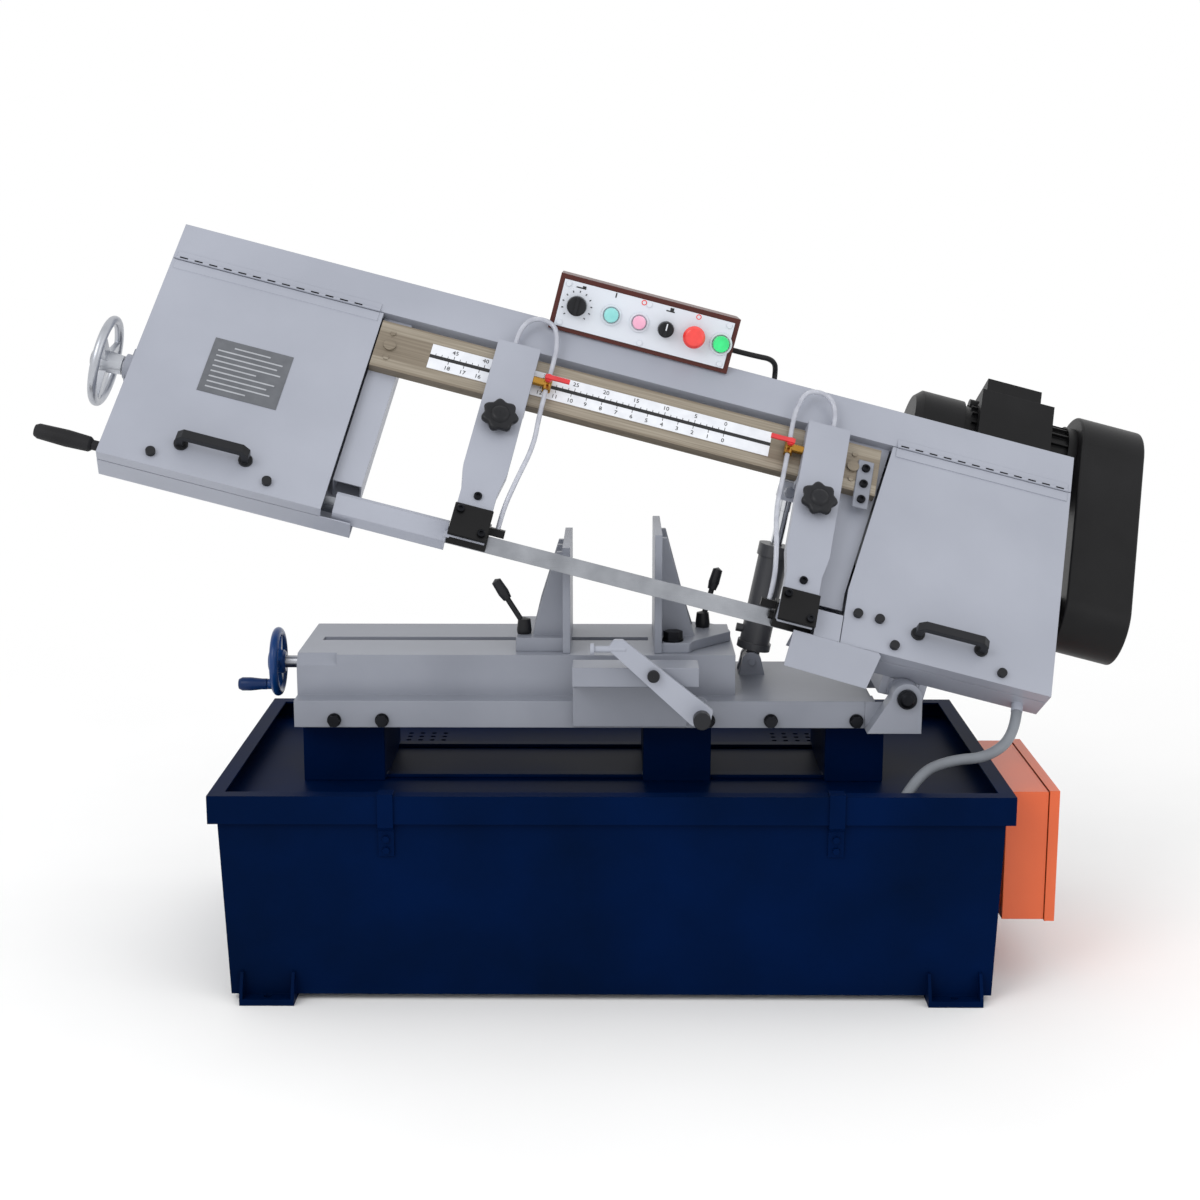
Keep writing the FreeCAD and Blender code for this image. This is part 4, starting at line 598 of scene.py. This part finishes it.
TENSION = LEANED @ Matrix.Translation((-1340, 0, 150))
TENSION_HUB = [(-22, 6), (-22, 12), (-18, 17), (-6, 19), (8, 17), (28, 15), (28, 10), (36, 10), (36, 6)]
VISE = WORLD @ Matrix.Translation((-548, 0, 469))
VISE_HUB = [(-15, 0.5), (-15, 15), (-11, 19.5), (9, 19.5), (13, 16), (13, 10.5), (1, 10.2), (1, 0.5)]
CRANK_PIN = [(-50, 0.5), (-50, 4.9), (-13, 4.9), (-12, 8.6), (-3, 8.6), (-3, 0.5)]


def crank_pin(work):
    """The pin that the loose crank grip turns on."""
    lathe_at(work, CRANK_PIN, 24, Matrix.Identity(3), (0, -34, -30))


handwheel("tension_handwheel", "tension_wheel", "tension_wheel", cast_aluminium, TENSION, 65.5, 7.2,
          TENSION_HUB, (5.5, 9.5))
handwheel("vise_handwheel_blue", "vise_handwheel", "vise_screw", wheel_blue, VISE, 49.5, 7.2,
          VISE_HUB, (4.6, 8.0), (crank_pin,))
print("handwheels", 2)

# %% [markdown]
# Each guide arm is locked by a moulded star knob. Its rim swells and dips seven times round, which a
# lathe can't do, so each ring of the outline is pushed in and out by a cosine. The black cheek under
# it covers the blade guides and is held by two socket screws. A third one sits above it in the arm.

# %% Star knobs and guide cheeks
LOBES, LOBE_DEEP = 7, 0.085


def depth_of(node):
    """Front-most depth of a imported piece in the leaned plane, in millimetres."""
    back = LEANED.inverted() @ nodes[node].matrix_world
    return min((back @ v.co).y for v in nodes[node].data.vertices)


def lobed(work, outline, flat_radius, steps=84):
    """A turned shape whose outer rings swell and dip like a hand knob's."""
    rings = []
    for i in range(steps):
        a = 2 * math.pi * i / steps
        ring = []
        for x, r in outline:
            deep = LOBE_DEEP * max(0.0, min(1.0, (r - flat_radius) / 6))
            wide = r * (1 - deep + deep * math.cos(LOBES * a))
            ring.append(work.verts.new((x, wide * math.cos(a), wide * math.sin(a))))
        rings.append(ring)
    stitch(work, rings)


KNOB_UP, KNOB_DEEP, KNOB_GAP, KNOB_FLAT = 193.0, 24.0, 0.2, 16.0
FOOT_LOW, CHEEK_HIGH, CHEEK_HALF, CHEEK_THICK, CHEEK_EDGE = -30.0, 27.0, 30.0, 5.6, 0.8
KNOB = [(0, 0.5), (0, 11), (2, 12.5), (5, 20), (8, 27), (11, 29.6), (16, 30.2), (19.5, 28.4), (21, 24),
        (20, 19), (19.6, 15), (23, 12.5), (23.8, 9), (23.8, 0.5)]
SOCKET_HEAD = [(-1, 0.4), (-1, 6.4), (4.2, 6.4), (5.4, 5.2), (5.4, 3.0), (3.0, 2.6), (3.0, 0.4)]
for body, (x, side) in ARMS.items():
    hand = body.split("_")[0]
    seat = depth_of(f"{hand}_knob") + KNOB_DEEP
    work = bmesh.new()
    lobed(work, KNOB, KNOB_FLAT)
    place_knob = LEANED @ Matrix.Translation((x, seat, KNOB_UP)) @ FORWARD
    star = piece(f"{hand}_star_knob", work, place_knob, moulded_black, f"{hand}_knob", 50)
    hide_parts(f"{hand}_knob")
    face = seat + KNOB_GAP
    cheek = bmesh.new()
    slab(cheek, x - CHEEK_HALF, x + CHEEK_HALF, face - CHEEK_THICK, face, FOOT_LOW, CHEEK_HIGH)
    bmesh.ops.bevel(cheek, geom=list(cheek.edges), offset=CHEEK_EDGE, segments=2, affect="EDGES")
    piece(f"{hand}_guide_cheek", cheek, LEANED, powder_black, body)
    screws = bmesh.new()
    for dx, z in ((0, 48), (-20, 16), (20, -18)):
        drop = 0.0 if z > CHEEK_HIGH else CHEEK_THICK
        lathe_at(screws, SOCKET_HEAD, 24, FORWARD.to_3x3(), (x + dx, face - drop, z))
    piece(f"{hand}_guide_screws", screws, LEANED, blued_steel, body)
print("knobs", 2, "cheeks", 2)

# %% [markdown]
# The scale on the guide bar is two white strips with a black line between them: centimetres above
# and inches below, counted from the blade's side. Ticks are thin printed bars, and numbers are text
# turned to mesh. All of it stands less than a millimetre proud of the bar, so the arms still slide
# over it.

# %% Scale strips
BAR_FACE = -32.9
STRIP_LEFT, STRIP_RIGHT, STRIP_LOW, STRIP_HIGH = -854.0, -288.0, 269.2, 316.4
ZERO_X, LINE_HALF = -365.0, 3.2
MIDDLE = (STRIP_LOW + STRIP_HIGH) / 2
CM_COUNT, INCH_COUNT, CM_MM, INCH_MM = 49, 19, 10, 25.4
FIGURE_TALL, FIGURE_AWAY, TICK_HALF = 10.5, 13, 0.45
STRIP_PROUD, PRINT_PROUD, SUNK = 0.6, 0.8, 0.2


def words(work, text, height, x, y, z, deep=0.25):
    """Text as raised print, centred at a point and facing the front."""
    data = bpy.data.curves.new("print", "FONT")
    data.body, data.size, data.extrude = text, height, deep / 2
    data.align_x, data.align_y, data.resolution_u = "CENTER", "CENTER", 3
    held = bpy.data.objects.new("print", data)
    bpy.context.scene.collection.objects.link(held)
    bpy.context.view_layer.update()
    mesh = bpy.data.meshes.new_from_object(held.evaluated_get(bpy.context.evaluated_depsgraph_get()))
    mesh.transform(Matrix.Translation((x, y, z)) @ Matrix.Rotation(math.pi / 2, 4, "X"))
    work.from_mesh(mesh)
    bpy.data.objects.remove(held)
    bpy.data.curves.remove(data)
    bpy.data.meshes.remove(mesh)


strips = bmesh.new()
for low, high in ((STRIP_LOW, MIDDLE - LINE_HALF), (MIDDLE + LINE_HALF, STRIP_HIGH)):
    slab(strips, STRIP_LEFT, STRIP_RIGHT, BAR_FACE - STRIP_PROUD, BAR_FACE + SUNK, low, high)
piece("scale_strips", strips, LEANED, print_white, "bow")
marks = bmesh.new()
slab(marks, STRIP_LEFT, STRIP_RIGHT, BAR_FACE - PRINT_PROUD, BAR_FACE + SUNK,
     MIDDLE - LINE_HALF, MIDDLE + LINE_HALF)
front, back = BAR_FACE - 0.85, BAR_FACE - 0.5
for cm in range(CM_COUNT):
    x, tall = ZERO_X - CM_MM * cm, 6.0 if cm % 5 == 0 else 3.5
    slab(marks, x - TICK_HALF, x + TICK_HALF, front, back, MIDDLE + LINE_HALF, MIDDLE + LINE_HALF + tall)
    if cm % 5 == 0:
        words(marks, str(cm), FIGURE_TALL, x, front, MIDDLE + LINE_HALF + FIGURE_AWAY)
for inch in range(INCH_COUNT):
    x = ZERO_X - INCH_MM * inch
    slab(marks, x - TICK_HALF, x + TICK_HALF, front, back, MIDDLE - LINE_HALF - 5.5, MIDDLE - LINE_HALF)
    words(marks, str(inch), FIGURE_TALL, x, front, MIDDLE - LINE_HALF - FIGURE_AWAY)
piece("scale_print", marks, LEANED, print_black, "bow")
print("scale marks", CM_COUNT + INCH_COUNT)

# %% [markdown]
# The left door carries a dark data plate. Its text is only pale rules of uneven length, so that it
# reads as a plate without saying anything.

# %% Data plate
DOOR_FACE = -33.0
PLATE = (-1184.0, -1058.0, 120.0, 223.0)
sheet = bmesh.new()
slab(sheet, PLATE[0], PLATE[1], DOOR_FACE - 0.8, DOOR_FACE + 0.3, PLATE[2], PLATE[3])
piece("data_plate", sheet, LEANED, plate_dark, "left_door")
rules = bmesh.new()
WIDTHS = (58, 104, 98, 106, 70, 102, 92, 100, 64)
TOP_MARGIN, ROW_PITCH, TITLE_INDENT, TEXT_INDENT = 12, 10, 34, 10
for row, wide in enumerate(WIDTHS):
    z = PLATE[3] - TOP_MARGIN - row * ROW_PITCH
    left = PLATE[0] + (TITLE_INDENT if row == 0 else TEXT_INDENT)
    slab(rules, left, left + wide, DOOR_FACE - 1.1, DOOR_FACE - 0.6, z - 1.3, z + 1.3)
piece("data_plate_rules", rules, LEANED, plate_pale, "left_door")
print("plate rules", len(WIDTHS))

# %% [markdown]
# A piano hinge runs along the top of both doors. From the front it shows as a row of short dark
# knuckle gaps, drawn as thin slabs in blued steel's dark colour that stand for the shade in the gaps:
# painted shade. The post beside the right arm carries a small plate with three screws.

# %% Painted shade in the hinge gaps, and post plate
HINGE_UP, KNUCKLE_PITCH, KNUCKLE_LONG = 352.0, 24.0, 13.0
for door, left, right in (("left_door", -1288.0, -962.0), ("right_door", -82.0, 209.0)):
    gaps = bmesh.new()
    count = int((right - left) / KNUCKLE_PITCH)
    for k in range(count):
        x = left + KNUCKLE_PITCH * (k + 0.25)
        # Each dark slab is painted shade, standing in for the shade that falls into a gap between knuckles.
        slab(gaps, x, x + KNUCKLE_LONG, DOOR_FACE - 5.4, DOOR_FACE - 1.0, HINGE_UP - 1.1, HINGE_UP + 1.1)
    piece(f"{door}_knuckle_gap_shade", gaps, LEANED, blued_steel, door)
POST_X, POST_UP, POST_HALF_WIDE, POST_HALF_TALL, POST_PROUD = -128.0, 262.0, 13, 46, 2.5
BUTTON_HEAD = [(-1, 0.4), (-1, 6.8), (4.4, 6.8), (5.6, 5.4), (5.6, 3.2), (3.2, 2.8), (3.2, 0.4)]
tab = bmesh.new()
slab(tab, POST_X - POST_HALF_WIDE, POST_X + POST_HALF_WIDE, DOOR_FACE - POST_PROUD, DOOR_FACE + 1.0,
     POST_UP - POST_HALF_TALL, POST_UP + POST_HALF_TALL)
bmesh.ops.bevel(tab, geom=list(tab.edges), offset=0.8, segments=2, affect="EDGES")
piece("post_plate", tab, LEANED, casting_grey, "bow")
heads = bmesh.new()
for dz in (-30, 0, 30):
    lathe_at(heads, BUTTON_HEAD, 24, FORWARD.to_3x3(), (POST_X, DOOR_FACE - POST_PROUD, POST_UP + dz))
piece("post_screws", heads, LEANED, blued_steel, "bow")
print("hinge gaps and post plate")

# %% [markdown]
# The bar stop is clamped half way along by a second, smaller knob. It has a skirt and a domed cap.

# %% Stop clamp
clamp = bmesh.new()
lathe(clamp, [(-1, 0.4), (-1, 6), (2, 6.2), (3, 9.2), (9, 9.6), (11, 8.4), (11.8, 5), (11.8, 0.4)], 28)
STOP_MM = (64.0, -244.0, 505.0)
place_clamp = WORLD @ Matrix.Translation(STOP_MM) @ FORWARD
piece("stop_clamp", clamp, place_clamp, moulded_black, "stop_arm")
print("stop clamp", STOP_MM)

# %% [markdown]
# The panel's printing is generic: a ring of dots round the speed knob, and a plain mark over every
# control but the pump's. The selector has a white pointer line.

# %% Panel print
CONTROL_Z, PANEL_FACE = 378.0, 228.0
CONTROLS = {"speed": -646.0, "start": -588.0, "jog": -541.0, "mode": -496.0, "stop": -449.0, "pump": -403.0}
legend = bmesh.new()
face, under = PANEL_FACE - 0.5, PANEL_FACE + 0.2
for k in range(11):
    a = math.radians(-135 + 27 * k)
    for r in (23.0, 24.5):
        x, z = CONTROLS["speed"] + r * math.sin(a), CONTROL_Z + r * math.cos(a)
        slab(legend, x - 0.8, x + 0.8, face, under, z - 0.8, z + 0.8)
top = CONTROL_Z + 29
slab(legend, CONTROLS["speed"] - 8, CONTROLS["speed"] + 8, face, under, top, top + 2)
slab(legend, CONTROLS["speed"] + 2, CONTROLS["speed"] + 8, face, under, top + 2, top + 5)
slab(legend, CONTROLS["start"] - 1, CONTROLS["start"] + 1, face, under, top, top + 8)
slab(legend, CONTROLS["mode"] - 7, CONTROLS["mode"] + 7, face, under, top, top + 2)
slab(legend, CONTROLS["mode"] - 1, CONTROLS["mode"] + 5, face, under, top + 2, top + 7)
piece("panel_legend", legend, UPRIGHT, print_black, "bow")
SIGN_RING = [(-0.4, 3.0), (-0.4, 4.4), (0.3, 4.4), (0.3, 3.0)]
signs = bmesh.new()
BACKWARD = Matrix.Rotation(math.pi / 2, 3, "Z")
for name in ("jog", "stop"):
    lathe_at(signs, SIGN_RING, 24, BACKWARD, (CONTROLS[name], PANEL_FACE, top + 4))
piece("panel_signs", signs, UPRIGHT, red_mushroom, "bow")
pointer = bmesh.new()
slab(pointer, CONTROLS["mode"] - 1.0, CONTROLS["mode"] + 1.0, PANEL_FACE - 20.6, PANEL_FACE - 20.0,
     CONTROL_Z - 1, CONTROL_Z + 10)
piece("selector_pointer", pointer, UPRIGHT, print_white, "mode_knob")
print("panel print", 3)

# %% [markdown]
# The set is a pale floor under a white sky. Away from the machine the floor turns into plain white
# light, as a paper sweep does when it is lit to clip, so that no horizon shows. A broad soft light
# over the left shoulder models the covers and a second fills from the right.

# %% Floor and light
CLEAR_M, GONE_M = 1.0, 3.2
work = bmesh.new()
slab(work, -30000, 30000, -30000, 30000, -20, 0)
mesh = bpy.data.meshes.new("studio_floor")
work.to_mesh(mesh)
work.free()
mesh.transform(WORLD)
floor = bpy.data.objects.new("studio_floor", mesh)
bpy.context.scene.collection.objects.link(floor)
paper, tree, shader, place = start("paper_sweep")
away = add(tree, "ShaderNodeVectorMath", {0: place}, operation="LENGTH")
fade = add(tree, "ShaderNodeMapRange", {"Value": away.outputs["Value"], "From Min": CLEAR_M,
                                        "From Max": GONE_M}, interpolation_type="SMOOTHSTEP")
light = add(tree, "ShaderNodeEmission", {"Color": (1, 1, 1, 1), "Strength": 1.0})
cloud = add(tree, "ShaderNodeTexNoise", {"Vector": place, "Scale": 1.5, "Detail": 3.0})
tint = add(tree, "ShaderNodeValToRGB", {"Fac": cloud.outputs["Fac"]}, ((0.3, "#F6F6F6"), (0.7, "#FAFAFA")))
tree.links.new(tint.outputs["Color"], shader.inputs["Base Color"])
shader.inputs["Roughness"].default_value = 0.9
blend = add(tree, "ShaderNodeMixShader", {0: fade.outputs["Result"], 1: shader.outputs[0],
                                          2: light.outputs[0]})
tree.links.new(blend.outputs[0], tree.nodes["Material Output"].inputs["Surface"])
mesh.materials.append(paper)

sky = bpy.data.worlds.new("white_sky")
sky.use_nodes = True
sky.node_tree.nodes["Background"].inputs["Color"].default_value = (1.0, 1.0, 1.0, 1.0)
sky.node_tree.nodes["Background"].inputs["Strength"].default_value = 1.0
bpy.context.scene.world = sky


def softbox(name, at, aim, size, watts):
    """A square soft light at a place, turned to a point."""
    data = bpy.data.lights.new(name, "AREA")
    data.size, data.energy = size, watts
    made = bpy.data.objects.new(name, data)
    made.location = at
    made.rotation_euler = (Vector(aim) - Vector(at)).to_track_quat("-Z", "Y").to_euler()
    bpy.context.scene.collection.objects.link(made)


softbox("key_left", (-2.6, -3.4, 3.6), (0, 0, 0.6), 2.4, 62)
softbox("fill_right", (3.4, -2.6, 2.2), (0, 0, 0.6), 2.2, 16)
print("lights", 2)
